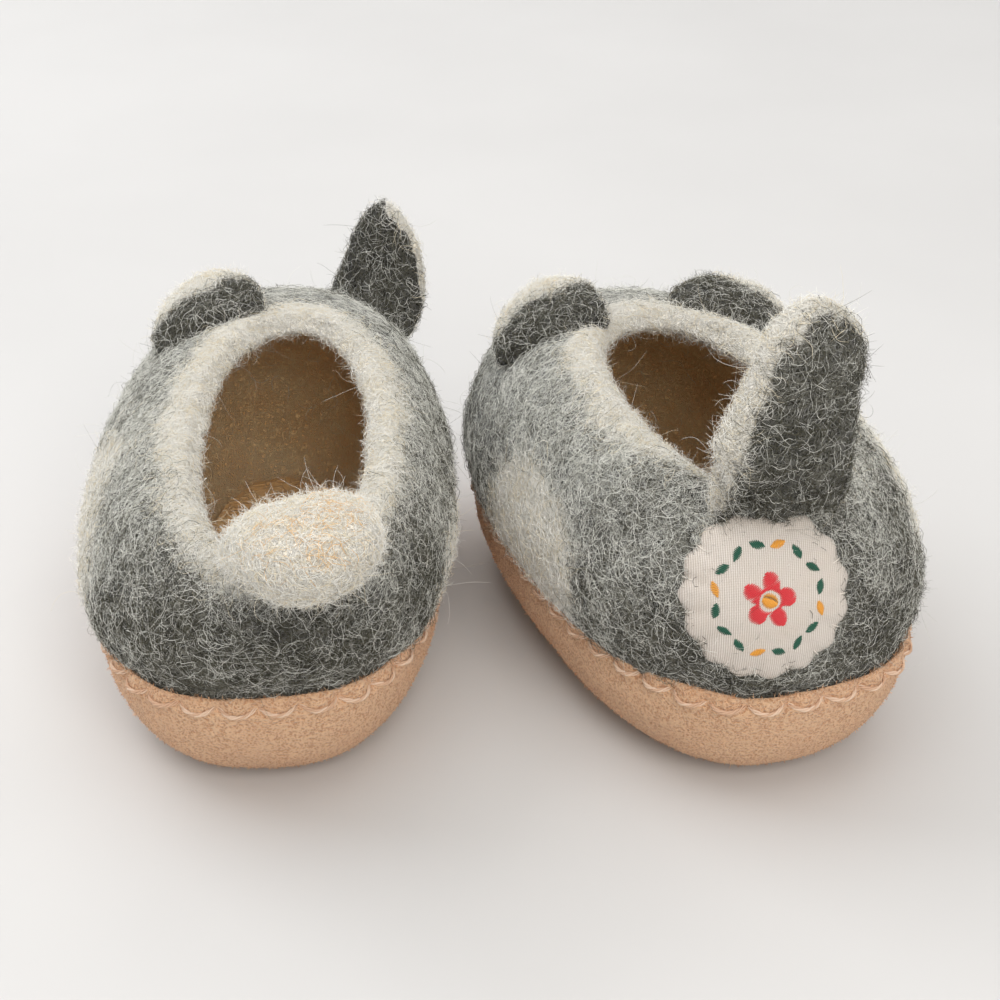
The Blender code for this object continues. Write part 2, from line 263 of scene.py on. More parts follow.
def cad_copy(node, name, levels):
    """A smooth copy of a CAD node: its split corners welded, its triangles paired, then subdivided."""
    mesh = frame["nodes"][node].data.copy()
    work = bmesh.new()
    work.from_mesh(mesh)
    bmesh.ops.remove_doubles(work, verts=work.verts, dist=2e-6)
    bmesh.ops.join_triangles(work, faces=work.faces, angle_face_threshold=0.7, angle_shape_threshold=1.4)
    work.to_mesh(mesh)
    work.free()
    mesh.materials.clear()
    mesh.shade_smooth()
    return subdivide(link(bpy.data.objects.new(name, mesh)), levels)


def join(objects, name):
    """One object from several, as loose parts of one mesh."""
    verts, loops, sizes, base = [], [], [], 0
    for o in objects:
        co = coords(o)
        verts.append(co)
        index = np.zeros(len(o.data.loops), np.int32)
        o.data.loops.foreach_get("vertex_index", index)
        total = np.zeros(len(o.data.polygons), np.int32)
        o.data.polygons.foreach_get("loop_total", total)
        loops.append(index + base)
        sizes.append(total)
        base += len(co)
        bpy.data.objects.remove(o)
    return fast_object(name, np.concatenate(verts), np.concatenate(loops), np.concatenate(sizes), [])


def remesh(obj, voxel, rounds):
    """One even skin over everything in the mesh, then smoothed."""
    modifier = obj.modifiers.new("remesh", "REMESH")
    modifier.mode = "VOXEL"
    modifier.voxel_size = voxel
    relax = obj.modifiers.new("relax", "SMOOTH")
    relax.factor = 0.5
    relax.iterations = rounds
    return apply_modifiers(obj)


def lumps(co, scale, seed):
    """Smooth noise from about -1 to 1 at each point; scale is the size of a lump."""
    shift = Vector((seed * 7.31, seed * 3.17, seed * 5.53))
    return np.array([noise.noise(Vector(p) / scale + shift) for p in co])


def layers(co, *kinds):
    """Lumps of several sizes on top of each other, each (height, size, seed), in mm, as metres."""
    return sum(height * MM * lumps(co, size * MM, seed) for height, size, seed in kinds)


def distance_to(points, co):
    """How far each place is from the nearest of the points."""
    tree = KDTree(len(points))
    for i, p in enumerate(points):
        tree.insert(Vector(p), i)
    tree.balance()
    return np.array([tree.find(Vector(p))[2] for p in co])


def tree_of(obj):
    polygons = [tuple(p.vertices) for p in obj.data.polygons]
    return BVHTree.FromPolygons([Vector(v) for v in coords(obj)], polygons)


# --- materials
def nodes_of(name):
    material = bpy.data.materials.new(name)
    material.use_nodes = True
    return material, material.node_tree.nodes, material.node_tree.links


def plain_fibre(name, colour, roughness=0.75):
    """Wool or thread so thin that one colour does: the look comes from many fibres of several shades."""
    material, nodes, _ = nodes_of(name)
    shader = nodes["Principled BSDF"]
    shader.inputs["Base Color"].default_value = (*colour, 1)
    shader.inputs["Roughness"].default_value = roughness
    shader.inputs["Specular IOR Level"].default_value = 0.25
    return material


class Tree:
    """Short names for the shader nodes used here."""

    def __init__(self, name):
        self.material, self.nodes, self.links = nodes_of(name)
        self.shader = self.nodes["Principled BSDF"]
        self.place = self.add("ShaderNodeTexCoord").outputs["Object"]

    def put(self, socket, value):
        if isinstance(value, bpy.types.NodeSocket):
            self.links.new(value, socket)
        elif isinstance(value, tuple) and len(value) == 3 and socket.type == "RGBA":
            socket.default_value = (*value, 1)
        else:
            socket.default_value = value

    def add(self, kind, feeds=(), **settings):
        """A node with its settings; feeds says what goes into each of its inputs."""
        node = self.nodes.new(kind)
        for key, value in settings.items():
            setattr(node, key, value)
        for key, value in dict(feeds).items():
            self.put(node.inputs[key], value)
        return node

    def noise(self, scale, detail=2.0, rough=0.5, distort=0.0):
        feeds = {"Vector": self.place, "Scale": scale, "Detail": detail, "Roughness": rough}
        return self.add("ShaderNodeTexNoise", {**feeds, "Distortion": distort}).outputs

    def math(self, operation, a, b=0.0, clamp=False):
        return self.add("ShaderNodeMath", {0: a, 1: b}, operation=operation, use_clamp=clamp).outputs[0]

    def plus(self, a, b, clamp=False):
        return self.math("ADD", a, b, clamp)

    def times(self, a, b, clamp=False):
        return self.math("MULTIPLY", a, b, clamp)

    def ramp(self, value, low, high):
        """0 below low, 1 above high, smooth between."""
        feeds = {"Value": value, "From Min": low, "From Max": high}
        return self.add("ShaderNodeMapRange", feeds, interpolation_type="SMOOTHSTEP").outputs["Result"]

    def mottle(self, scale, rough, low, high):
        """Soft patches of 0 and 1."""
        return self.ramp(self.noise(scale, 3.0, rough)["Fac"], low, high)

    def mix(self, share, a, b):
        return self.add("ShaderNodeMix", {0: share, 6: a, 7: b}, data_type="RGBA").outputs[2]

    def attribute(self, name):
        return self.add("ShaderNodeAttribute", attribute_name=name).outputs["Fac"]

    def vector(self, operation, feeds):
        return self.add("ShaderNodeVectorMath", feeds, operation=operation).outputs[0]

    def bent_place(self, scale, amount):
        """Object coordinates pushed about by noise, so that lines drawn on them curl."""
        shifted = self.vector("SUBTRACT", {0: self.noise(scale)["Color"], 1: (0.5, 0.5, 0.5)})
        scaled = self.vector("SCALE", {0: shifted, "Scale": amount})
        return self.vector("ADD", {0: self.place, 1: scaled})

    def strands(self, cells, width, wobble):
        """Thin curling lines, the walls of bent cells: cells per metre, width as a share of a cell."""
        feeds = {"Vector": self.bent_place(cells * 0.6, wobble), "Scale": cells}
        wall = self.add("ShaderNodeTexVoronoi", feeds, feature="DISTANCE_TO_EDGE").outputs["Distance"]
        return self.math("SUBTRACT", 1.0, self.ramp(wall, 0.0, width))

    def bump(self, height, distance, strength=1.0):
        feeds = {"Height": height, "Distance": distance, "Strength": strength}
        return self.add("ShaderNodeBump", feeds).outputs[0]

    def finish(self, colour, roughness, normal=None, sheen=0.0):
        feeds = {"Base Color": colour, "Roughness": roughness, "Sheen Weight": sheen}
        feeds |= {"Specular IOR Level": 0.2, "Sheen Roughness": 0.5}
        if normal is not None:
            feeds["Normal"] = normal
        for key, value in feeds.items():
            self.put(self.shader.inputs[key], value)
        return self.material


GREY_DEEP = (0.030, 0.029, 0.021)
GREY_LIGHT = (0.44, 0.43, 0.365)
# the pale grey stands for painted light on the top, the front and the left flank of the felt, and for a random paler
# tone
GREY_LIT_AND_PALE = (0.56, 0.57, 0.535)
CREAM_DEEP = (0.84, 0.78, 0.65)
CREAM_LIGHT = (0.95, 0.93, 0.88)
# tan of the lining deep inside: partly its own beige, partly painted warm shade
TAN_DEEP = (0.92, 0.58, 0.26)
TAN_LIGHT = (0.99, 0.78, 0.46)
SUEDE_DEEP = (0.70, 0.345, 0.170)
SUEDE_LIGHT = (0.98, 0.63, 0.375)
SUEDE_CLOUD = (0.86, 0.49, 0.28)
# painted shadow along the cup's top edge, under the felt
SUEDE_EDGE_SHADOW = (0.50, 0.23, 0.11)
CLOTH_DEEP = (0.52, 0.45, 0.39)
CLOTH_LIGHT = (0.75, 0.70, 0.645)
CLOTH_STAIN = (0.62, 0.53, 0.44)
RIB_PITCH = 0.42 * MM
WEFT_PITCH = 0.30 * MM
INSOLE_DEEP = (0.82, 0.50, 0.22)
INSOLE_LIGHT = (0.96, 0.70, 0.38)
BLACK_DEEP = (0.012, 0.011, 0.010)
BLACK_LIGHT = (0.07, 0.066, 0.06)
EAR_DARKNESS = 0.42
# fine, middle and wide strands of felt: cells per metre, width as a share of a cell, and how far they wander
FELT_STRANDS = ((1150, 0.20, 0.9 * MM), (720, 0.13, 1.8 * MM), (430, 0.08, 3.2 * MM))


def felt_material(name, darkness=1.0):
    """Felted wool: a dark mat with lighter strands curling over it. The mesh says where it is cream or tan, and where
    painted light makes the grey paler; the tan deep inside is partly painted warm shade.
    """
    t = Tree(name)
    fine, middle, wide = (t.strands(*kind) for kind in FELT_STRANDS)
    lines = t.math("MAXIMUM", t.times(fine, 0.60), t.math("MAXIMUM", t.times(middle, 0.85), wide))
    patches = t.mottle(80, 0.65, 0.36, 0.66)
    deep, light, lit_pale_grey = (tuple(c * darkness for c in grey) for grey in (GREY_DEEP, GREY_LIGHT, GREY_LIT_AND_PALE))
    grey = t.mix(t.times(lines, t.plus(0.15, t.times(patches, 0.70)), clamp=True), deep, light)
    # painted light: the grey turns paler on the top, the front and the left flank, and in random paler lumps
    pale = t.times(t.attribute("pale"), t.plus(0.06, t.times(lines, 0.80)), clamp=True)
    grey = t.mix(pale, grey, lit_pale_grey)
    cream = t.mix(t.plus(t.times(lines, 0.6), t.times(patches, 0.4), clamp=True), CREAM_DEEP, CREAM_LIGHT)
    tan = t.mix(t.plus(t.times(lines, 0.5), t.times(patches, 0.4), clamp=True), TAN_DEEP, TAN_LIGHT)
    ragged = t.times(t.math("SUBTRACT", t.noise(330, 3.0, 0.7)["Fac"], 0.5), 0.5)
    whiteness = t.ramp(t.plus(t.attribute("cream"), ragged), 0.22, 0.72)
    # the tan deep inside is partly the lining's own beige and partly painted warm shade
    inside = t.ramp(t.plus(t.attribute("inside"), ragged), 0.2, 0.9)
    colour = t.mix(inside, t.mix(whiteness, grey, cream), tan)
    height = t.plus(lines, t.times(t.noise(900, 3.0, 0.7)["Fac"], 0.6))
    rough = t.plus(0.80, t.times(patches, 0.15))
    return t.finish(colour, rough, t.bump(height, 0.9 * MM, 0.9), sheen=0.25)


def suede_material():
    """Brushed suede: peach tan, a short nap that lies this way and that, paler where it is rubbed, and a painted
    shadow line along its top edge under the felt.
    """
    t = Tree("suede")
    grain = t.times(t.noise(2400, 4.0, 0.75)["Fac"], 0.5)
    nap = t.times(t.noise(1000, 3.0, 0.7, 0.8)["Fac"], 0.7)
    pits = t.add("ShaderNodeTexVoronoi", {"Vector": t.bent_place(1100, 0.6 * MM), "Scale": 1700})
    height = t.plus(t.plus(grain, nap), t.times(pits.outputs["Distance"], 0.5))
    colour = t.mix(t.ramp(height, 0.70, 0.92), SUEDE_DEEP, SUEDE_LIGHT)
    colour = t.mix(t.times(t.mottle(70, 0.6, 0.35, 0.7), 0.30), colour, SUEDE_CLOUD)
    # darkens the top edge: a painted shadow line under the felt
    colour = t.mix(t.times(t.attribute("edge"), 0.45), colour, SUEDE_EDGE_SHADOW)
    return t.finish(colour, 0.88, t.bump(height, 1.2 * MM), sheen=0.3)


def cloth_material():
    """Off-white ribbon cloth with a fine upright rib."""
    t = Tree("label_cloth")
    ribs = t.math("SINE", t.times(t.attribute("rib_x"), 2 * math.pi / RIB_PITCH))
    weft = t.math("SINE", t.times(t.attribute("rib_y"), 2 * math.pi / WEFT_PITCH))
    height = t.plus(t.times(ribs, 0.6), t.times(weft, 0.25))
    colour = t.mix(t.ramp(height, -0.8, 0.8), CLOTH_DEEP, CLOTH_LIGHT)
    colour = t.mix(t.times(t.mottle(160, 0.6, 0.35, 0.75), 0.35), colour, CLOTH_STAIN)
    return t.finish(colour, 0.6, t.bump(height, 0.10 * MM, 0.7), sheen=0.15)


def insole_material():
    t = Tree("insole_felt")
    lines = t.strands(420, 0.12, 1.8 * MM)
    share = t.plus(t.times(lines, 0.35), t.times(t.mottle(160, 0.65, 0.3, 0.75), 0.5), clamp=True)
    colour = t.mix(share, INSOLE_DEEP, INSOLE_LIGHT)
    return t.finish(colour, 0.9, t.bump(lines, 0.6 * MM, 0.7), sheen=0.1)


def bead_material():
    t = Tree("black_felt")
    lines = t.strands(700, 0.12, 1.0 * MM)
    colour = t.mix(t.times(lines, 0.6), BLACK_DEEP, BLACK_LIGHT)
    return t.finish(colour, 0.8, t.bump(lines, 0.5 * MM, 0.8), sheen=0.3)


# the tones of the wool fibres; shares_of gives its shares in this order
TONES = [
    plain_fibre("wool_silver", (0.82, 0.815, 0.755)),
    plain_fibre("wool_ash", (0.25, 0.245, 0.205)),
    plain_fibre("wool_slate", (0.045, 0.043, 0.032)),
    plain_fibre("wool_cream", (0.93, 0.91, 0.85)),
    plain_fibre("wool_straw", (0.87, 0.78, 0.60)),
    plain_fibre("wool_tan", (0.88, 0.58, 0.28)),
    plain_fibre("wool_moss", (0.125, 0.118, 0.085)),
]
FELT = felt_material("felt")
EAR_FELT = felt_material("ear_felt", EAR_DARKNESS)
SUEDE = suede_material()
INSOLE = insole_material()
CLOTH = cloth_material()
THREAD = plain_fibre("thread", (0.62, 0.40, 0.27), 0.7)
THREAD_PALE = plain_fibre("thread_pale", (0.74, 0.54, 0.40), 0.7)
NAP_LIGHT = plain_fibre("nap_light", (0.95, 0.61, 0.38), 0.85)
NAP_DARK = plain_fibre("nap_dark", (0.62, 0.31, 0.16), 0.85)
TACK = plain_fibre("tack", (0.80, 0.74, 0.67), 0.6)
EMBROIDERY = {
    "flower": plain_fibre("embroidery_red", (0.68, 0.055, 0.065), 0.45),
    "leaf": plain_fibre("embroidery_green", (0.03, 0.115, 0.075), 0.45),
    "bud": plain_fibre("embroidery_ochre", (0.78, 0.36, 0.06), 0.45),
}


# --- where each slipper stands
class Slipper:
    """The place of one slipper: its middle on the floor, its own axes, read from its tread."""

    def __init__(self, prefix):
        self.prefix = prefix
        self.body = prefix + "_slipper"
        sole = coords(frame["nodes"][prefix + "_sole"])
        self.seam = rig.box(prefix + "_sole")[1].z  # height of the cup's top edge
        ring = np.unique(np.round(sole[sole[:, 2] < 0.2 * MM], 6), axis=0)
        self.middle = np.array([*(ring[:, :2].min(0) + ring[:, :2].max(0)) / 2, 0])
        flat = ring[:, :2] - ring[:, :2].mean(0)
        _, vectors = np.linalg.eigh(flat.T @ flat)
        forward = vectors[:, 1] * np.sign(vectors[1, 1])
        self.forward = np.array([*forward, 0.0])
        self.right = np.array([forward[1], -forward[0], 0.0])
        self.up = np.array([0.0, 0.0, 1.0])

    def local(self, co):
        d = np.asarray(co) - self.middle
        return np.stack([d @ self.right, d @ self.forward, d @ self.up], axis=-1)

    def sideways(self, local):
        """The level direction away from the middle at each place."""
        return local[:, 0:1] * self.right + local[:, 1:2] * self.forward

    def keep(self, obj, slot, *nodes):
        """Fix a finished piece to the body of the slipper, in place of the CAD nodes that it shows."""
        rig.ride(obj, self.body)
        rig.slot(obj, slot)
        if nodes:
            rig.replaces(obj, *nodes)


# --- the felt body
SHELL_VOXEL = 1.25 * MM
SHELL_ROUNDS = 8
RIM_LEVEL = 45 * MM  # the rim of the opening is all above this
BAND = 7.5 * MM  # width of the cream band outside the rim
BAND_EDGE = 3.5 * MM
HEEL_NARROWING = {"left": 0.25, "right": 1.0}  # how much narrower the band gets at the heel
# the tan deepens into the opening: partly the lining's own beige, partly painted warm shade
TAN_FROM, TAN_TO = 5 * MM, 27 * MM  # the lining turns tan between these distances from the rim
OVERHANG = 1.4 * MM  # how far the felt stands out over the cup at the flanks
OVERLAP = 1.6 * MM
PATCHES = {
    # (side of the slipper, middle along and up, half length and half height), in mm
    "left": [(-1, -20, 36, 24, 19), (1, -24, 28, 22, 14)],
    "right": [(-1, -11, 37, 24, 18), (1, -32, 52, 26, 12)],
}
MUZZLE = np.array([0.0, 74 * MM, 26 * MM])
MUZZLE_R = 27 * MM


def nearest_distance(tree, co):
    return np.array([tree.find_nearest(Vector(p))[3] for p in co])


def felt_body(slipper):
    """Outer felt and lining as the one mat they are: a thick bag with a rolled rim."""
    prefix, seam = slipper.prefix, slipper.seam
    outer = cad_copy(prefix + "_felt_outer", prefix + "_outer_guide", 2)
    lining = cad_copy(prefix + "_felt_lining", prefix + "_lining_guide", 2)
    tree_out, tree_in = tree_of(outer), tree_of(lining)
    obj = remesh(join([outer, lining], prefix + "_felt_body"), SHELL_VOXEL, SHELL_ROUNDS)
    co = coords(obj)
    local = slipper.local(co)
    x, y, z = local.T
    side = nearest_distance(tree_out, co) - nearest_distance(tree_in, co)
    outside = side < 0
    reach = distance_to(co[(np.abs(side) < 0.7 * MM) & (z > RIM_LEVEL)], co)

    ragged = layers(co, (1.6, 9, 1), (0.8, 3.5, 2))
    heelward = smooth(-y, 15 * MM, 45 * MM) * HEEL_NARROWING[prefix]
    band = 1 - smooth(reach + 1.3 * ragged + 4.5 * MM * heelward, BAND - BAND_EDGE, BAND + BAND_EDGE)
    cream = np.where(outside, band, 1.0)
    for which, along, up, half_length, half_height in PATCHES[prefix]:
        d = np.hypot((y / MM - along) / half_length, (z / MM - up) / half_height)
        d = d + ragged / MM * 0.10 + 0.22 * lumps(co, 20 * MM, 8 + which)
        patch = (1 - smooth(d, 0.7, 1.25)) * (x * which > 8 * MM)
        cream = np.maximum(cream, patch * outside)
    d = np.linalg.norm(local - MUZZLE, axis=1) + ragged
    cream = np.maximum(cream, (1 - smooth(d, MUZZLE_R - 2 * MM, MUZZLE_R + 2 * MM)) * outside)
    # inside: tan further from the rim, partly the lining's own beige and partly painted warm shade deep in the opening
    inside = np.where(outside, 0.0, smooth(reach + 1.5 * ragged, TAN_FROM, TAN_TO))
    # pale is painted light: paler on the top, the front and the window-lit left flank, with darker heels as painted
    # shade; the lumps are a random paler tone
    pale = 0.48 * smooth(z, 34 * MM, 66 * MM) + 0.35 * smooth(y, -60 * MM, 0)
    pale = pale + 0.22 * smooth(-x, 15 * MM, 38 * MM)
    pale = pale + 0.38 * lumps(co, 14 * MM, 6) + 0.2 * lumps(co, 6 * MM, 7) + 0.05
    set_attributes(obj, pale=np.clip(pale, 0, 1), cream=cream, inside=inside, outside=outside, reach=reach)

    swell = layers(co, (0.45, 13, 3), (0.25, 5, 4), (0.12, 2.2, 5)) * smooth(z, seam - 1 * MM, seam + 4 * MM)
    co = co + normals(obj) * swell[:, None]
    flank = smooth(np.abs(x), 20 * MM, 34 * MM) * outside
    over = smooth(z, seam - 3 * MM, seam + 2 * MM) * (1 - smooth(z, seam + 6 * MM, seam + 22 * MM)) * flank
    co = co + slipper.right * (np.sign(x) * over * OVERHANG)[:, None]
    co[:, 2] -= OVERLAP * over * (1 - smooth(z, seam, seam + 9 * MM))
    set_coords(obj, co)
    obj.data.materials.append(FELT)
    slipper.keep(obj, "grey_felt", prefix + "_felt_outer", prefix + "_felt_lining")
    return obj


# --- fibres
def surface(obj):
    """The mesh as triangle arrays: corners, normals and areas."""
    obj.data.calc_loop_triangles()
    tri = np.zeros(len(obj.data.loop_triangles) * 3, np.int32)
    obj.data.loop_triangles.foreach_get("vertices", tri)
    tri = tri.reshape(-1, 3)
    co = coords(obj)
    a, b, c = co[tri[:, 0]], co[tri[:, 1]], co[tri[:, 2]]
    area = np.linalg.norm(np.cross(b - a, c - a), axis=1) / 2
    return {"tri": tri, "co": co, "no": normals(obj), "area": area, "tree": tree_of(obj)}


def scatter(rng, skin, weight, count):
    """count random places on the mesh, in proportion to area and weight: points, normals and a function that
    reads there what is known at the corners of the mesh."""
    chance = skin["area"] * weight[skin["tri"]].mean(1)
    pick = rng.choice(len(chance), size=count, p=chance / chance.sum())
    u, v = rng.random(count), rng.random(count)
    flip = u + v > 1
    u, v = np.where(flip, 1 - u, u), np.where(flip, 1 - v, v)
    bary = np.stack([1 - u - v, u, v], axis=1)
    corners = skin["tri"][pick]

    def read(values):
        return np.einsum("nk,nk...->n...", bary, values[corners])

    return read(skin["co"]), unit(read(skin["no"])), read


def across(normal, rng):
    """A random direction in the surface at each place."""
    any_way = rng.normal(size=normal.shape)
    return unit(any_way - normal * np.sum(any_way * normal, axis=1, keepdims=True))


def turn(direction, normal, angle):
    """direction turned about normal by angle, row by row."""
    c, s = np.cos(angle)[:, None], np.sin(angle)[:, None]
    return unit(direction * c + np.cross(normal, direction) * s)


END_DEPTH = 0.10 * MM  # how far the ends of a laid fibre are in the felt
ROOT_DEPTH = 0.2 * MM  # how far the root of a standing one is


def lay_curls(rng, skin, start, normal, length, steps, curl, lift):
    """Paths that wander over the surface in arcs and loops. curl is the bend in radians per mm, lift the height
    that the middle of a path rises to."""
    point, up = start.copy(), normal.copy()
    way = across(normal, rng)
    bend = rng.normal(size=len(start)) * curl
    phase, rate = rng.random(len(start)) * 6.28, 0.5 + rng.random(len(start))
    stride = length / (steps - 1)
    path, ups = [point.copy()], [up.copy()]
    for step in range(1, steps):
        swing = bend + 0.8 * curl * np.sin(phase + step * rate)
        way = turn(way, up, swing * stride / MM)
        point = point + way * stride[:, None]
        if step % 2 == 0 or step == steps - 1:
            hits = [skin["tree"].find_nearest(Vector(p)) for p in point]
            point = np.array([h[0] for h in hits])
            found = np.array([h[1] for h in hits])
            keep = np.sum(found * up, axis=1, keepdims=True) > 0.2
            up = np.where(keep, found, up)
            way = unit(way - up * np.sum(way * up, axis=1, keepdims=True))
        path.append(point.copy())
        ups.append(up.copy())
    path, ups = np.stack(path, axis=1), np.stack(ups, axis=1)
    t = np.linspace(0, 1, steps)[None, :]
    arch = np.sin(math.pi * t) ** 0.6
    waves = 2 * math.pi * (1 + 2 * rng.random((len(start), 1)))
    ripple = 0.35 * np.sin(waves * t + phase[:, None])
    height = lift[:, None] * (arch + ripple * arch) - END_DEPTH * (1 - arch)
    return path + ups * height[:, :, None]


def stand_curls(rng, start, normal, length, steps, lean, curl):
    """Free paths that leave the surface at a slant and curl in the air. lean 0 stands straight up."""
    way = unit(normal * np.cos(lean)[:, None] + across(normal, rng) * np.sin(lean)[:, None])
    axis = unit(rng.normal(size=start.shape))
    point = start - normal * ROOT_DEPTH
    path = [point.copy()]
    stride = length / (steps - 1)
    amount = rng.normal(size=len(start)) * curl
    for _ in range(1, steps):
        axis = unit(axis + 0.35 * rng.normal(size=start.shape))
        way = turn(way, axis, amount * stride / MM)
        point = point + way * stride[:, None]
        path.append(point.copy())
    return np.stack(path, axis=1)


def tubes(name, path, radius, tones, materials, sides=3):
    """Closed thin tubes along many paths of equal numbers of points, tapered to their ends."""
    count, steps, _ = path.shape
    along = unit(np.gradient(path, axis=1))
    first = unit(np.cross(along, np.array([0.31, 0.47, 0.83])))
    second = np.cross(along, first)
    t = np.linspace(-1, 1, steps)[None, :]
    taper = radius[:, None] * (1 - 0.55 * np.abs(t) ** 3)
    rings = []
    for k in range(sides):
        a = 2 * math.pi * k / sides
        rings.append(path + (first * math.cos(a) + second * math.sin(a)) * taper[:, :, None])
    verts = np.stack(rings, axis=2).reshape(-1, 3)
    verts[:, 2] = np.maximum(verts[:, 2], 0.0)
    base = np.arange(count)[:, None] * steps * sides
    row = base[:, :, None] + np.arange(steps - 1)[None, :, None] * sides
    k = np.arange(sides)
    n = (k + 1) % sides
    quads = np.stack([row + k, row + n, row + sides + n, row + sides + k], axis=-1)
    caps = [base + k[::-1], base + (steps - 1) * sides + k]
    loops = np.concatenate([quads.reshape(count, -1), *caps], axis=1).ravel()
    sizes = np.tile(np.array([4] * ((steps - 1) * sides) + [sides] * 2), count)
    slots = np.repeat(tones, (steps - 1) * sides + 2)
    return fast_object(name, verts, loops, sizes, materials, slots)


def pick_tones(rng, shares):
    """A tone for each fibre, from its row of shares."""
    shares = shares / shares.sum(1, keepdims=True)
    steps = np.cumsum(shares, axis=1)
    return np.minimum((rng.random((len(shares), 1)) > steps).sum(1), shares.shape[1] - 1)


def shares_of(cream, inside, dark=0.0):
    """How likely each tone is, given how cream, how far inside and how dark a place is; dark is painted shade on the
    body, and brown far inside is partly painted warm shade.
    """
    cream, inside, dark = (np.clip(v, 0, 1) * np.ones(len(cream)) for v in (cream, inside, dark))
    cream, inside, dark = cream[:, None], inside[:, None], dark[:, None]
    pale_grey = np.array([0.74, 0.22, 0.02, 0.02, 0.0, 0.0, 0.0])
    dark_grey = np.array([0.20, 0.14, 0.28, 0.00, 0.0, 0.0, 0.38])
    white = np.array([0.02, 0.0, 0.0, 0.80, 0.18, 0.0, 0.0])
    brown = np.array([0.0, 0.0, 0.01, 0.05, 0.29, 0.65, 0.0])
    grey = pale_grey * (1 - dark) + dark_grey * dark
    return (grey * (1 - cream) + white * cream) * (1 - inside) + brown * inside


class Coat:
    """Fibres over one mesh, in the tones that its colours and the darkness of its grey ask for; on the body that
    darkness is painted shade with random darker lumps. Their lengths, lifts and radii are in mm."""

    def __init__(self, obj, seed, dark):
        self.rng = np.random.default_rng(seed)
        self.skin = surface(obj)
        self.cream, self.inside = get_attributes(obj, "cream", "inside")
        self.dark = dark
        self.pieces = []

    def tones(self, read, shade):
        shares = shares_of(read(self.cream), read(self.inside), shade * read(self.dark))
        return pick_tones(self.rng, shares)

    def lay(self, name, weight, count, lift, size, curl, steps=11, thickest=0.056):
        """Fibres that lie on the felt."""
        rng = self.rng
        start, normal, read = scatter(rng, self.skin, weight, count)
        length = rng.uniform(*size, count) * MM
        height = np.abs(rng.normal(size=count)) * lift * MM
        path = lay_curls(rng, self.skin, start, normal, length, steps, curl, height)
        tones = self.tones(read, 1.0)
        radius = rng.uniform(0.028, thickest, count) * MM
        self.pieces.append(tubes(name, path, radius, tones, TONES))

    def stand(self, name, weight, count, size, lean, curl, radius, steps, shade=0.5):
        """Fibres that stand off the felt, lean degrees from upright."""
        rng = self.rng
        start, normal, read = scatter(rng, self.skin, weight, count)
        length = rng.uniform(*size, count) * MM
        angle = np.radians(rng.uniform(*lean, count))
        path = stand_curls(rng, start, normal, length, steps, angle, curl)
        tones = self.tones(read, shade)
        self.pieces.append(tubes(name, path, np.full(count, radius * MM), tones, TONES))


BODY_SEED = {"left": 11, "right": 23}
# name, where, count, lift, lengths and curl
BODY_LAID = (
    ("_wool_heel", "heel", 6000, 0.35, (7, 12), 0.36),
    ("_wool_heel_2", "heel", 6000, 0.60, (5, 9), 0.60),
    ("_wool_side", "side", 6000, 0.45, (6, 11), 0.42),
    ("_wool_rim", "rim", 3600, 0.60, (3, 7), 0.60),
    ("_wool_inside", "lining", 1800, 0.50, (4, 8), 0.40),
)
# name, where, count, lengths, leans, curl, radius and points on a path
BODY_STANDING = (
    ("_fuzz", "fuzz", 9000, (1.2, 3.2), (10, 75), 0.60, 0.022, 5),
    ("_fuzz_rim", "rim", 2800, (1.5, 4.0), (10, 80), 0.60, 0.024, 6),
    ("_stray_hairs", "stray", 420, (5, 12), (35, 80), 0.32, 0.024, 14),
)


def dress_body(slipper, shell):
    """Curled fibres over the felt body: a mat outside, a thinner one inside, a fuzz and long stray hairs."""
    pale, outside, reach = get_attributes(shell, "pale", "outside", "reach")
    # the fibres turn darker where the felt is less pale: painted shade on the heels, low down and away from the left
    # flank, and random darker lumps
    coat = Coat(shell, BODY_SEED[slipper.prefix], 1 - pale)
    _, y, z = slipper.local(coords(shell)).T
    above = smooth(z, slipper.seam - 0.5 * MM, slipper.seam + 1.5 * MM)
    near = 1 - smooth(y, -35 * MM, 45 * MM)
    outer = outside * above
    rim = above * (1 - smooth(reach, 6 * MM, 10 * MM))
    weights = {
        "heel": outer * near,
        "side": outer * (1 - 0.5 * near),
        "rim": rim,
        "lining": (1 - outside) * smooth(z, 16 * MM, 20 * MM),
        "fuzz": outer * (0.4 + near),
        "stray": outer + 2 * rim,
    }
    for name, where, *kind in BODY_LAID:
        coat.lay(slipper.prefix + name, weights[where], *kind)
    for name, where, *kind in BODY_STANDING:
        coat.stand(slipper.prefix + name, weights[where], *kind)
    for piece in coat.pieces:
        slipper.keep(piece, "grey_felt")


# --- tails and ears
def flap_frame(joint, node):
    """(hinge point, unit axis, unit direction to the tip, length) of a CAD flap."""
    j = JOINTS[joint]
    pos = np.array(j["pos_m"], float)
    axis = unit(np.array(j["axis"], float))
    co = coords(frame["nodes"][node]) - pos
    flat = co - (co @ axis)[:, None] * axis
    tip = flat[np.argmax(np.linalg.norm(flat, axis=1))]
    far = flat[np.linalg.norm(flat, axis=1) > 0.8 * np.linalg.norm(tip)]
    return pos, axis, unit(far.mean(0)), np.linalg.norm(tip)


def bezier(points, t):
    a, b, c, d = (np.asarray(p)[None] for p in points)
    t = np.asarray(t)[:, None]
    return a * (1 - t) ** 3 + 3 * b * t * (1 - t) ** 2 + 3 * c * t**2 * (1 - t) + d * t**3


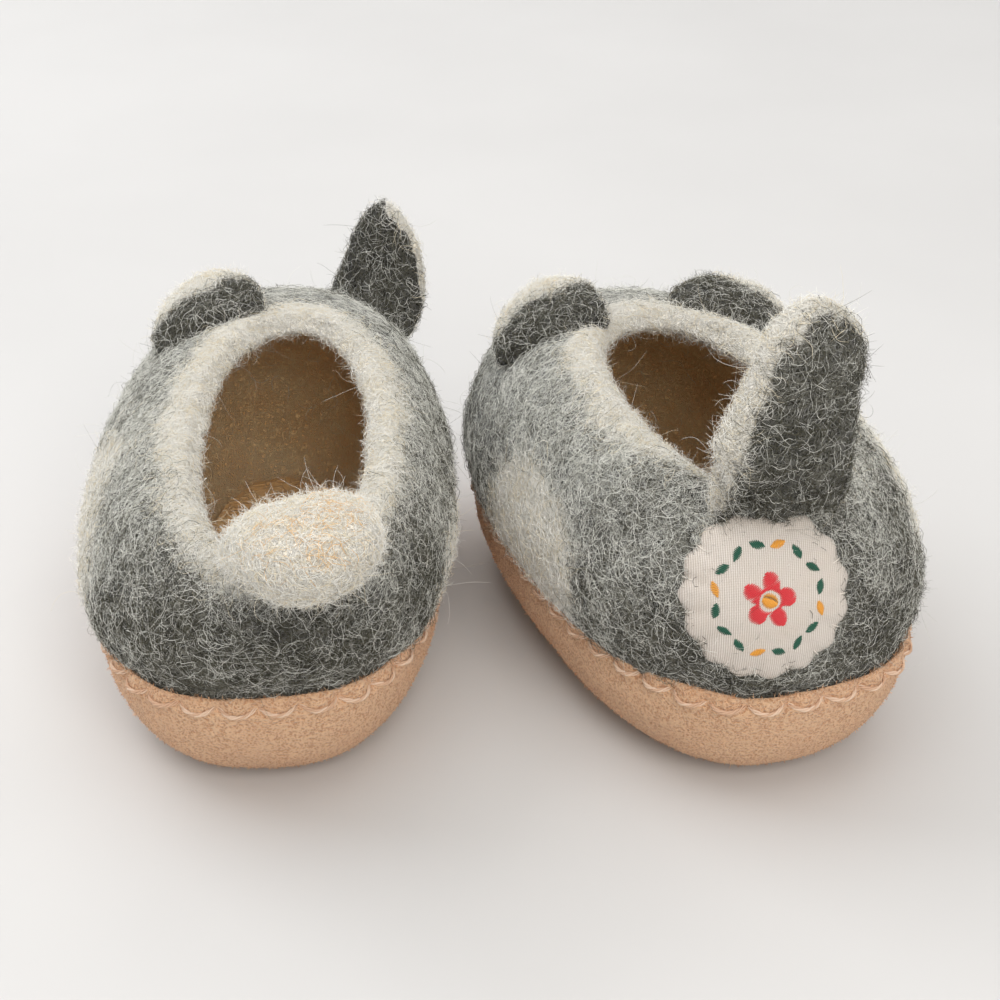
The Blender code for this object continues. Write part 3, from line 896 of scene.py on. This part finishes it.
def flap_mesh(name, line, wide, rows, columns, half_width, thickness, cup, material):
    """A thick leaf swept along a line. wide is its width direction at root and tip; half_width, thickness and
    cup are functions of the share of the way. Attribute front is +1 on the side towards the toes."""
    share = np.linspace(0, 1, rows)
    centre = bezier(line, share)
    along = unit(np.gradient(centre, axis=0))
    side = unit(wide[0][None] * (1 - share[:, None]) + wide[1][None] * share[:, None])
    side = unit(side - along * np.sum(side * along, axis=1, keepdims=True))
    face = np.cross(along, side)
    verts, front, edge = [], [], []
    for i, s in enumerate(share):
        hw, th, cu = half_width(s), thickness(s), cup(s)
        for k in range(columns):
            a = 2 * math.pi * k / columns
            x = math.copysign(abs(math.cos(a)) ** 0.8, math.cos(a)) * hw
            y = math.sin(a) * th
            verts.append(centre[i] + side[i] * x + face[i] * (y + cu * (x / max(hw, 1e-6)) ** 2))
            front.append(math.sin(a))
            edge.append(math.cos(a))
    faces = []
    for i in range(rows - 1):
        for k in range(columns):
            n = (k + 1) % columns
            faces.append((i * columns + k, i * columns + n, (i + 1) * columns + n, (i + 1) * columns + k))
    faces.append(tuple(reversed(range(columns))))
    faces.append(tuple((rows - 1) * columns + k for k in range(columns)))
    obj = new_object(name, verts, faces, [material])
    set_attributes(obj, front=front, side=edge, share=np.repeat(share, columns))
    return subdivide(obj, 2)


def rounded(s, start, least):
    """1 along a flap and falling beyond the share start, to a rounded end; least keeps the end from closing."""
    return math.sqrt(max(1 - max((s - start) / (1 - start), 0) ** 2.2, least))


def dress_flap(obj, seed, counts, bodies, start, end, slot):
    """Fibres on a tail or an ear, then the flap and its fibres bent across the joint."""
    (share,) = get_attributes(obj, "share")
    coat = Coat(obj, seed, np.ones(len(share)))
    whole = (share > 0.06).astype(float)
    laid, standing, stray = counts
    coat.lay(obj.name + "_wool", whole, laid, 0.5, (3, 7), 0.40, 9, 0.060)
    coat.stand(obj.name + "_fuzz", whole, standing, (1.2, 3.4), (10, 80), 0.5, 0.024, 5, 1.0)
    coat.stand(obj.name + "_stray_hairs", whole, stray, (4, 10), (30, 80), 0.42, 0.028, 14, 1.0)
    for piece in [obj, *coat.pieces]:
        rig.blend(piece, *bodies, start, end)
        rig.slot(piece, slot)


def tail_root(slipper, pos, drop, sink):
    """A point inside the felt of the heel, drop below the hinge and sink under the skin."""
    out = -slipper.forward
    start = pos + out * 60 * MM - slipper.up * drop
    hit, normal, _, _ = TREES[slipper.prefix].ray_cast(Vector(start), Vector(-out))
    return np.array(hit) - np.array(normal) * sink


TAIL_FIBRES = (5200, 4600, 240)
TAIL_SEED = 31
ROOT_THICKNESS = 3.8  # mm
TAILS = {
    # half widths at root, middle and tip, half thickness, drop and sink of the root, flare to the left and
    # lift, all in mm
    "left": (14.0, 13.5, 12.5, 8.0, 13.0, 3.0, 0.0, 5.0),
    "right": (20.0, 13.5, 11.0, 5.6, 17.0, 4.6, 5.5, 0.0),
}


def press_in(obj, tree, share, top):
    """Press the root of a flap into the felt of the body, less and less up to the share top."""
    co = coords(obj)
    limit = (-1.2 + 1.8 * share / top + 14 * smooth(share, 0.55 * top, top) ** 2) * MM
    for i in np.flatnonzero(share < top):
        hit, normal, _, _ = tree.find_nearest(Vector(co[i]))
        height = (co[i] - np.array(hit)) @ np.array(normal)
        if height > limit[i]:
            co[i] -= np.array(normal) * (height - limit[i])
    set_coords(obj, co)


def make_tail(slipper):
    """A broad tab of felt pulled up from the heel, grey behind, cream in front and along its edges and tip."""
    prefix, up = slipper.prefix, slipper.up
    pos, axis, way, length = flap_frame(prefix + "_tail_bend", prefix + "_tail_core")
    root_width, middle_width, tip_width, thick, drop, sink, flare, lift = TAILS[prefix]
    aside, raised = slipper.right * flare * MM, up * lift * MM
    root = tail_root(slipper, pos, drop * MM, sink * MM) - aside
    tip = pos + way * (length - 0.5 * MM) + 0.8 * raised
    line = (root, pos - up * 5 * MM - aside + raised, pos + way * 8 * MM + raised, tip)
    wide = (slipper.right, unit(axis + 0.055 * lift * up))

    def half_width(s):
        low = root_width + (middle_width - root_width) * float(smooth(s, 0.12, 0.66))
        return (low + (tip_width - middle_width) * float(smooth(s, 0.6, 0.8))) * MM * rounded(s, 0.78, 0.012)

    def thickness(s):
        full = ROOT_THICKNESS + (thick - ROOT_THICKNESS) * float(smooth(s, 0.15, 0.5))
        return full * MM * rounded(s, 0.80, 0.02)

    obj = flap_mesh(prefix + "_tail", line, wide, 30, 22, half_width, thickness, lambda s: 0.6 * MM, FELT)
    front, share, edge = get_attributes(obj, "front", "share", "side")
    press_in(obj, TREES[prefix], share, 0.5 if prefix == "right" else 0.35)
    co = coords(obj)
    swell = layers(co, (0.7, 11, 21), (0.35, 4, 22)) * smooth(share, 0.2, 0.5)
    set_coords(obj, co + normals(obj) * swell[:, None])
    cream = front + lumps(co, 6 * MM, 23) * 0.3 + lumps(co, 2.5 * MM, 24) * 0.2
    if prefix == "right":
        left_edge = np.clip(-edge, 0, 1) ** 1.3 * smooth(share, 0.28, 0.5)
        cream = cream + 1.1 * left_edge + 1.1 * smooth(share, 0.82, 1.02)
        tan_tip_front = np.zeros(len(co))
    else:
        cream = cream + 0.75 + 0.6 * smooth(share, 0.6, 1.0)
        # tan on the front face towards the tip
        tan_tip_front = 0.30 * smooth(share, 0.55, 0.85) * smooth(front, 0.1, 0.8)
    set_attributes(obj, cream=smooth(cream, -0.35, 0.45), inside=tan_tip_front, pale=np.full(len(co), 0.05))
    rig.replaces(obj, prefix + "_tail_core", prefix + "_tail_cover")
    blend_way = unit(way + up)
    start, end = pos - blend_way * 7 * MM, pos + blend_way * 9 * MM
    dress_flap(obj, TAIL_SEED, TAIL_FIBRES, (slipper.body, prefix + "_tail"), start, end, "cream_felt")


EAR_FIBRES = (2300, 1900, 22)
EAR_SEED = 51
EAR_HALF_WIDTH = 13.6 * MM
EAR_SINK = 3.0 * MM
# share of the way up an ear at which its back turns cream, how much its outer edge does, its length as a
# share of the CAD ear's, and how far its tip sways sideways
EARS = {
    "left_left": (0.56, 0.25, 0.84, 0.0),
    "left_right": (0.93, 0.9, 1.03, -0.22),
    "right_left": (0.58, 0.25, 0.84, 0.0),
    "right_right": (0.66, 0.0, 0.84, 0.0),
}


def make_ear(slipper, which):
    """A leaf of felt, dark behind and cream in front, rooted in the felt body and bent over."""
    prefix = slipper.prefix
    base = f"{prefix}_{which}_ear"
    pos, axis, way, length = flap_frame(base + "_fold", base + "_front")
    hit, normal, _, _ = TREES[prefix].find_nearest(Vector(pos))
    normal = np.array(normal)
    root = np.array(hit) - normal * EAR_SINK
    turns_cream, rim, reach, sway = EARS[f"{prefix}_{which}"]
    tip = pos + unit(way + sway * axis) * length * reach
    line = (root, pos + normal * 0.5 * MM, pos + way * 8 * MM, tip)

    def half_width(s):
        body = EAR_HALF_WIDTH * (1 - 0.48 * s**3) * (1 + 0.06 * math.sin(math.pi * s))
        return body * rounded(s, 0.72, 0.02)

    def thickness(s):
        return (1.9 - 0.3 * s) * MM * rounded(s, 0.80, 0.03)

    def cup(s):
        return 1.6 * MM * math.sin(math.pi * s**0.8)

    obj = flap_mesh(base, line, (axis, axis), 20, 18, half_width, thickness, cup, EAR_FELT)
    co = coords(obj)
    set_coords(obj, co + normals(obj) * layers(co, (0.35, 7, 41), (0.2, 3, 42))[:, None])
    front, share, edge = get_attributes(obj, "front", "share", "side")
    outward = edge if which == "right" else -edge
    outer_edge = np.clip(outward, 0, 1) ** 3 * smooth(share, 0.25, 0.6)
    ragged = lumps(co, 4 * MM, 43) * 0.25 + lumps(co, 1.6 * MM, 44) * 0.15
    tipward = smooth(share + 0.12 * outward + 0.3 * ragged, turns_cream - 0.10, turns_cream + 0.16)
    cream = smooth(front + ragged + rim * outer_edge + 1.6 * tipward, 0.0, 0.5)
    grey = np.zeros(len(co))
    set_attributes(obj, cream=cream, inside=grey, pale=grey)
    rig.replaces(obj, base + "_back", base + "_front")
    seed = EAR_SEED + 2 * SIDES.index(prefix) + (which == "left")
    blend_way = unit(way + normal)
    start, end = pos - blend_way * 2.5 * MM, pos + blend_way * 5 * MM
    dress_flap(obj, seed, EAR_FIBRES, (slipper.body, base), start, end, "dark_felt")


# --- suede cup and its stitches
STITCH_PITCH = 8.4 * MM
HOLE_DROP = 2.3 * MM  # the stitch holes below the cup's edge
SAG_DROP = 3.5 * MM  # the middles of the slack stitches below it
STITCH_STEPS = 25
PLY_R = 0.27 * MM
PLY_TURN_R = 0.30 * MM
CUP_INSET = 1.2 * MM
NAP_R = 0.055 * MM
RAYS = 720
FAR = 150 * MM


def perimeter(slipper, height, count):
    """Points round the cup at one height, evenly spaced, with outward normals, starting at the heel."""
    found = []
    for i in range(RAYS + 1):
        a = 2 * math.pi * (i % RAYS) / RAYS - math.pi / 2
        d = slipper.right * math.cos(a) + slipper.forward * math.sin(a)
        far = slipper.middle + d * FAR + slipper.up * height
        hit, normal, _, _ = CUPS[slipper.prefix].ray_cast(Vector(far), Vector(-d))
        found.append((*hit, *normal))
    found = np.array(found)
    run = np.concatenate(([0], np.cumsum(np.linalg.norm(np.diff(found[:, :3], axis=0), axis=1))))
    want = np.linspace(0, run[-1], count, endpoint=False)
    even = np.stack([np.interp(want, run, column) for column in found.T], axis=1)
    return even[:, :3], unit(even[:, 3:]), run[-1]


def make_cup(slipper):
    """The suede cup: a soft skin a little uneven, puffed between the stitches, with a raw edge and a painted shadow
    line along it.
    """
    prefix, seam = slipper.prefix, slipper.seam
    obj = cad_copy(prefix + "_sole", prefix + "_suede_cup", 3)
    CUPS[prefix] = tree_of(obj)
    _, _, total = perimeter(slipper, seam - HOLE_DROP, 2)
    stitches = int(round(total / STITCH_PITCH))
    holes, _, _ = perimeter(slipper, seam - HOLE_DROP, stitches)
    co = coords(obj)
    local, no = slipper.local(co), normals(obj)
    hole = distance_to(holes, co)
    level = local[:, 2]
    outer = np.sum(no * unit(slipper.sideways(local)), axis=1) > 0.1
    pinch = -0.9 * MM * (1 - smooth(hole, 0, 2.6 * MM)) * outer
    raised = smooth(hole, 1.2 * MM, 3.6 * MM) * smooth(level, seam - 5.5 * MM, seam - 3.5 * MM)
    puff = 0.55 * MM * raised * outer
    wobble = layers(co, (0.30, 14, 61), (0.14, 4, 62))
    co = co + no * ((pinch + puff + wobble) * smooth(level, 0.5 * MM, 5 * MM))[:, None]
    flank = smooth(np.abs(local[:, 0]), 20 * MM, 34 * MM) * smooth(level, seam - 14 * MM, seam - 2 * MM)
    co = co - slipper.right * (np.sign(local[:, 0]) * flank * CUP_INSET)[:, None]
    co[:, 2] += smooth(level, seam - 7 * MM, seam - 2.5 * MM) * layers(co, (0.5, 11, 63), (0.35, 3.5, 64))
    co[:, 2] = np.maximum(co[:, 2], 0.0)
    set_coords(obj, co)
    # edge marks the cup's top for a painted shadow line under the felt
    set_attributes(obj, edge=smooth(level, seam - 1.0 * MM, seam + 0.2 * MM))
    obj.data.materials.append(SUEDE)
    slipper.keep(obj, "suede", prefix + "_sole")
    CUPS[prefix] = tree_of(obj)
    make_stitches(slipper, stitches)
    dress_cup(slipper, obj)


def make_stitches(slipper, count):
    """Slack stitches round the cup, each a flat three-ply loop from one hole to the next."""
    prefix, steps = slipper.prefix, STITCH_STEPS
    dense, outs, _ = perimeter(slipper, slipper.seam - HOLE_DROP, count * (steps - 1))
    drops, drop_outs, _ = perimeter(slipper, slipper.seam - SAG_DROP, count * (steps - 1))
    rng = np.random.default_rng(71)
    t = np.linspace(0, 1, steps)
    lift = (-0.8 + 1.2 * np.sin(math.pi * t) ** 0.3) * MM
    paths = []
    for i in range(count):
        index = (np.arange(steps) + i * (steps - 1)) % len(dense)
        sag = (np.sin(math.pi * t) ** 0.75 * rng.uniform(0.75, 1.15))[:, None]
        base = dense[index] * (1 - sag) + drops[index] * sag
        out = unit(outs[index] * (1 - sag) + drop_outs[index] * sag)
        paths.append((base + out * lift[:, None], out))
    plies = []
    for ply in range(3):
        twist = (np.linspace(0, 4 * math.pi, steps) + ply * 2 * math.pi / 3)[:, None]
        for path, out in paths:
            down = np.cross(unit(np.gradient(path, axis=0)), out)
            plies.append(path + PLY_TURN_R * (down * np.cos(twist) + 0.6 * out * np.sin(twist)))
    tones = rng.integers(0, 2, len(plies))
    radius = np.full(len(plies), PLY_R)
    obj = tubes(prefix + "_stitches", np.array(plies), radius, tones, [THREAD, THREAD_PALE], sides=6)
    slipper.keep(obj, "thread", prefix + "_seam_thread")


def dress_cup(slipper, cup):
    """A short nap on the suede, longest along its cut edge."""
    rng = np.random.default_rng(81)
    skin = surface(cup)
    local = slipper.local(skin["co"])
    outward = np.sum(skin["no"] * slipper.sideways(local), axis=1) > 0
    low = smooth(local[:, 2], 1.5 * MM, 4 * MM)
    edge = smooth(local[:, 2], slipper.seam - 1.6 * MM, slipper.seam - 0.2 * MM)
    for name, weight, count, size in (
        ("_suede_nap", outward * low, 12000, (0.4, 0.9)),
        ("_suede_edge_nap", edge + 0.02 * outward, 2200, (0.5, 1.4)),
    ):
        p, n, _ = scatter(rng, skin, weight, count)
        lean = np.radians(rng.uniform(20, 80, count))
        path = stand_curls(rng, p, n, rng.uniform(*size, count) * MM, 4, lean, 0.6)
        tones = (rng.random(count) > 0.6).astype(int)
        obj = tubes(slipper.prefix + name, path, np.full(count, NAP_R), tones, [NAP_LIGHT, NAP_DARK])
        slipper.keep(obj, "suede")


# --- insole, eyes and nose
def make_insole(slipper):
    prefix = slipper.prefix
    obj = cad_copy(prefix + "_insole", prefix + "_insole_felt", 3)
    co = coords(obj)
    top = smooth(co[:, 2], 10 * MM, 11.5 * MM)
    co[:, 2] += top * layers(co, (0.5, 16, 91), (0.2, 5, 92))
    set_coords(obj, co)
    obj.data.materials.append(INSOLE)
    slipper.keep(obj, "insole_felt", prefix + "_insole")


BEAD_FIBRES = 260
BEAD_FIBRE_R = 0.03 * MM


def make_beads(slipper):
    """Eyes and nose: felted balls pressed into the toe, with a black fuzz."""
    prefix = slipper.prefix
    black = bead_material()
    hair = plain_fibre(prefix + "_bead_fibre", (0.03, 0.028, 0.025))
    rng = np.random.default_rng(101)
    for name in ("left_eye", "right_eye", "nose"):
        node = f"{prefix}_{name}"
        obj = cad_copy(node, node + "_bead", 3)
        co = coords(obj)
        middle = co.mean(0)
        _, out, _, distance = TREES[prefix].find_nearest(Vector(middle))
        half = ((co - middle) @ np.array(out)).max()
        pressed = co - np.array(out) * (distance - 0.3 * half)
        set_coords(obj, pressed + normals(obj) * layers(co, (0.15, 2, 93))[:, None])
        obj.data.materials.append(black)
        p, n, _ = scatter(rng, surface(obj), np.ones(len(co)), BEAD_FIBRES)
        length = rng.uniform(0.5, 1.2, BEAD_FIBRES) * MM
        lean = np.radians(rng.uniform(20, 80, BEAD_FIBRES))
        path = stand_curls(rng, p, n, length, 4, lean, 0.6)
        radius = np.full(BEAD_FIBRES, BEAD_FIBRE_R)
        fuzz = tubes(node + "_fuzz", path, radius, np.zeros(BEAD_FIBRES, int), [hair])
        slipper.keep(obj, "black_felt", node)
        slipper.keep(fuzz, "black_felt")


# --- label
LABEL_R = 16.8 * MM
LABEL_STRETCH = 1.06  # its height over its width
LABEL_REACH = 40 * MM  # the cloth falls away no further than this where the felt curves off under it
CLOTH_THICKNESS = 0.75 * MM
SCALLOPS = 15
EMBROIDERY_R = 0.17 * MM
TACK_R = 0.13 * MM
LEAVES = 16


class LabelPlace:
    """Flat label coordinates laid on the back of the heel."""

    def __init__(self, slipper):
        low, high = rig.box(slipper.prefix + "_label")
        self.tree = TREES[slipper.prefix]
        hit, normal, _, _ = self.tree.find_nearest((low + high) / 2)
        self.centre = np.array(hit)
        self.out = np.array(normal)
        self.x = unit(np.cross(slipper.up, self.out))
        self.y = np.cross(self.out, self.x)

    def at(self, x, y, lift):
        """World points for label coordinates, lifted off the felt."""
        far = self.centre + self.x * x + self.y * LABEL_STRETCH * y + self.out * 30 * MM
        hit, _, _, distance = self.tree.ray_cast(Vector(far), Vector(-self.out))
        depth = min(distance, LABEL_REACH) if hit else LABEL_REACH
        return far - self.out * (depth - lift)


def label_dome(x, y):
    """Height of the cloth over the felt: a low pillow, pulled down at each tack round its hem."""
    r, a = math.hypot(x, y) / LABEL_R, math.atan2(y, x)
    tack = abs(math.cos(SCALLOPS * a / 2)) ** 6
    pillow = 1.15 * MM * (1 - r**5)
    return CLOTH_THICKNESS + pillow - 0.7 * MM * tack * float(smooth(r, 0.55, 1.0))


def label_radius(a):
    return LABEL_R * (1 - 0.055 * abs(math.cos(SCALLOPS * a / 2)) ** 1.6)


def make_label(slipper):
    """The round cloth label: a hemmed disc with a scalloped edge tacked down all round."""
    place = LabelPlace(slipper)
    around, rows = SCALLOPS * 12, 16
    verts, faces, ribs = [], [], []
    for under in (False, True):
        for row in range(1, rows + 1):
            share = (row / rows) ** 0.8
            rounding = 0.35 * MM * float(smooth(share, 0.93, 1.0))
            offset = 0.3 * rounding - CLOTH_THICKNESS if under else -rounding
            for k in range(around):
                a = 2 * math.pi * k / around
                x, y = label_radius(a) * share * math.cos(a), label_radius(a) * share * math.sin(a)
                verts.append(place.at(x, y, label_dome(x, y) + offset))
                ribs.append((x, y))
    layer = rows * around
    hem = layer - around

    def strip(first, second):
        for k in range(around):
            n = (k + 1) % around
            faces.append((first + k, second + k, second + n, first + n))

    for row in range(rows - 1):
        strip(row * around, (row + 1) * around)
        strip(layer + (row + 1) * around, layer + row * around)
    strip(hem, layer + hem)
    faces.append(range(around))
    faces.append(range(layer + around - 1, layer - 1, -1))
    obj = new_object(slipper.prefix + "_label_cloth", verts, faces, [CLOTH])
    rib_x, rib_y = np.array(ribs).T
    set_attributes(obj, rib_x=rib_x, rib_y=rib_y)
    work = bmesh.new()
    work.from_mesh(obj.data)
    bmesh.ops.recalc_face_normals(work, faces=work.faces)
    work.to_mesh(obj.data)
    work.free()
    slipper.keep(obj, "label_cloth", slipper.prefix + "_label")
    make_embroidery(slipper, place)
    make_tacks(slipper, place)


def satin(inside, pitch, angle, span):
    """Parallel stitches that fill a shape. inside(x, y) says what is in it."""
    found = []
    c, s = math.cos(angle), math.sin(angle)
    for v in np.arange(-span, span, pitch):
        run = []
        for u in [*np.arange(-span, span, 0.08 * MM), 2 * span]:
            x, y = u * c - v * s, u * s + v * c
            if inside(x, y):
                run.append((x, y))
                continue
            if len(run) > 3:
                found.append((run[0], run[-1]))
            run = []
    return found


def stitch_tubes(name, slipper, place, stitches, material, radius, *nodes):
    """Each stitch is a low arch of thread over the cloth."""
    paths = []
    t = np.linspace(0, 1, 6)
    for (x0, y0), (x1, y1) in stitches:
        xs, ys = x0 + (x1 - x0) * t, y0 + (y1 - y0) * t
        lift = [label_dome(x, y) + radius * (1.2 * math.sin(math.pi * q) - 0.5) for x, y, q in zip(xs, ys, t)]
        paths.append([place.at(x, y, h) for x, y, h in zip(xs, ys, lift)])
    count = len(paths)
    obj = tubes(name, np.array(paths), np.full(count, radius), np.zeros(count, int), [material], sides=5)
    slipper.keep(obj, "thread", *nodes)


def make_embroidery(slipper, place):
    """A plain five-petalled flower in a ring of small leaves and buds."""
    turn_by = math.radians(12)

    def petal(x, y):
        r, a = math.hypot(x, y), math.atan2(y, x) - turn_by
        lobe = abs(math.cos(2.5 * a))
        return 1.9 * MM < r < (2.6 + 2.9 * lobe**0.7) * MM

    def leaf(k, ring, half_length, half_width):
        a = 2 * math.pi * k / LEAVES + turn_by
        cx, cy = ring * math.cos(a), ring * math.sin(a)
        tilt = a + math.pi / 2 + (0.5 if k % 2 else -0.5)

        def inside(x, y):
            u = (x - cx) * math.cos(tilt) + (y - cy) * math.sin(tilt)
            v = -(x - cx) * math.sin(tilt) + (y - cy) * math.cos(tilt)
            return abs(u) < half_length and abs(v) < half_width * (1 - (u / half_length) ** 2)

        return inside

    def eye(x, y):
        return math.hypot(x, y) < 1.6 * MM

    flower = satin(petal, 0.30 * MM, turn_by + 0.4, 6 * MM)
    leaves, buds = [], satin(eye, 0.28 * MM, 1.2, 2 * MM)
    for k in range(LEAVES):
        inside = leaf(k, 10.4 * MM, 1.65 * MM, 0.85 * MM)
        target = buds if k % 4 == 3 else leaves
        target.extend(satin(inside, 0.30 * MM, 0.6 + 0.4 * k, 13 * MM))
    for kind, stitches in (("flower", flower), ("leaf", leaves), ("bud", buds)):
        name = f"{slipper.prefix}_{kind}_thread"
        stitch_tubes(name, slipper, place, stitches, EMBROIDERY[kind], EMBROIDERY_R)


def make_tacks(slipper, place):
    """Small stitches that hold the hem down at each notch of the edge."""
    tacks = []
    for k in range(SCALLOPS):
        a = 2 * math.pi * k / SCALLOPS
        ends = label_radius(a) - 1.5 * MM, label_radius(a) + 0.5 * MM
        tacks.append([(r * math.cos(a), r * math.sin(a)) for r in ends])
    prefix = slipper.prefix
    stitch_tubes(prefix + "_label_tacks", slipper, place, tacks, TACK, TACK_R, prefix + "_label_thread")


# --- put together
TREES, CUPS = {}, {}
for prefix in SIDES:
    slipper = Slipper(prefix)
    shell = felt_body(slipper)
    TREES[prefix] = tree_of(shell)
    dress_body(slipper, shell)
    make_cup(slipper)
    make_insole(slipper)
    make_beads(slipper)
    make_tail(slipper)
    for which in SIDES:
        make_ear(slipper, which)
    if prefix == "right":
        make_label(slipper)


# --- floor, light and camera
FLOOR_DEEP = (0.60, 0.592, 0.583)
FLOOR_LIGHT = (0.625, 0.617, 0.608)
FLOOR_HALF_WIDTH = 3.5
FLOOR_FRONT = -3.0
FLOOR_DROP = 0.05 * MM
SWEEP_START = 0.55
SWEEP_R = 0.5
SWEEP_STEPS = 12
WALL_TOP = 2.2


def make_floor():
    """A pale sheet that curves up behind."""
    profile = [(FLOOR_FRONT, 0.0)]
    for i in range(SWEEP_STEPS + 1):
        a = math.pi / 2 * i / SWEEP_STEPS
        profile.append((SWEEP_START + SWEEP_R * math.sin(a), SWEEP_R * (1 - math.cos(a))))
    profile.append((SWEEP_START + SWEEP_R, WALL_TOP))
    verts = [(x, y, z - FLOOR_DROP) for y, z in profile for x in (-FLOOR_HALF_WIDTH, FLOOR_HALF_WIDTH)]
    faces = [(i, i + 1, i + 3, i + 2) for i in range(0, len(verts) - 2, 2)]
    t = Tree("floor")
    t.finish(t.mix(t.mottle(6, 0.5, 0.3, 0.7), FLOOR_DEEP, FLOOR_LIGHT), 0.6)
    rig.stage(new_object("floor", verts, faces, [t.material]))


CAMERA_ELEVATION = math.radians(30)
CAMERA_DISTANCE = 0.410
CAMERA_TARGET = Vector((0.0020, -0.0126, 0.048))
LENS = 68.4
# name, place, target, side of the square in metres, watts and colour
LIGHTS = (
    ("window", (-1.0, 0.55, 1.05), (0, 0, 0.03), 1.1, 12, (0.96, 0.98, 1.0)),
    ("fill", (0.30, -1.05, 0.85), (0, 0, 0.04), 0.8, 10, (1.0, 0.97, 0.92)),
    ("sky", (0.0, 0.1, 1.5), (0, 0, 0), 1.6, 12, (1.0, 0.99, 0.97)),
)
ROOM_COLOUR = (0.98, 0.98, 1.0, 1)
ROOM_STRENGTH = 0.46


def area_light(name, place, target, size, power, colour):
    light = bpy.data.lights.new(name, "AREA")
    light.shape = "SQUARE"
    light.size = size
    light.energy = power
    light.color = colour
    obj = link(bpy.data.objects.new(name, light))
    obj.location = place
    obj.rotation_euler = (Vector(target) - Vector(place)).to_track_quat("-Z", "Y").to_euler()


def make_camera():
    away = Vector((0, -math.cos(CAMERA_ELEVATION), math.sin(CAMERA_ELEVATION)))
    camera = bpy.data.cameras.new("camera")
    camera.sensor_width = 36
    camera.lens = LENS
    obj = link(bpy.data.objects.new("camera", camera))
    obj.location = CAMERA_TARGET + away * CAMERA_DISTANCE
    obj.rotation_euler = (-away).to_track_quat("-Z", "Y").to_euler()
    bpy.context.scene.camera = obj


make_floor()
for settings in LIGHTS:
    area_light(*settings)
world = bpy.data.worlds.new("room")
world.use_nodes = True
background = world.node_tree.nodes["Background"].inputs
background["Color"].default_value = ROOM_COLOUR
background["Strength"].default_value = ROOM_STRENGTH
bpy.context.scene.world = world
bpy.context.scene.view_settings.view_transform = "Standard"
make_camera()

with open("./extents.json", "w") as handle:
    json.dump({"cad": [list(c) for c in CAD_BOX], "visual": [list(c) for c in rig.bounds()]}, handle)
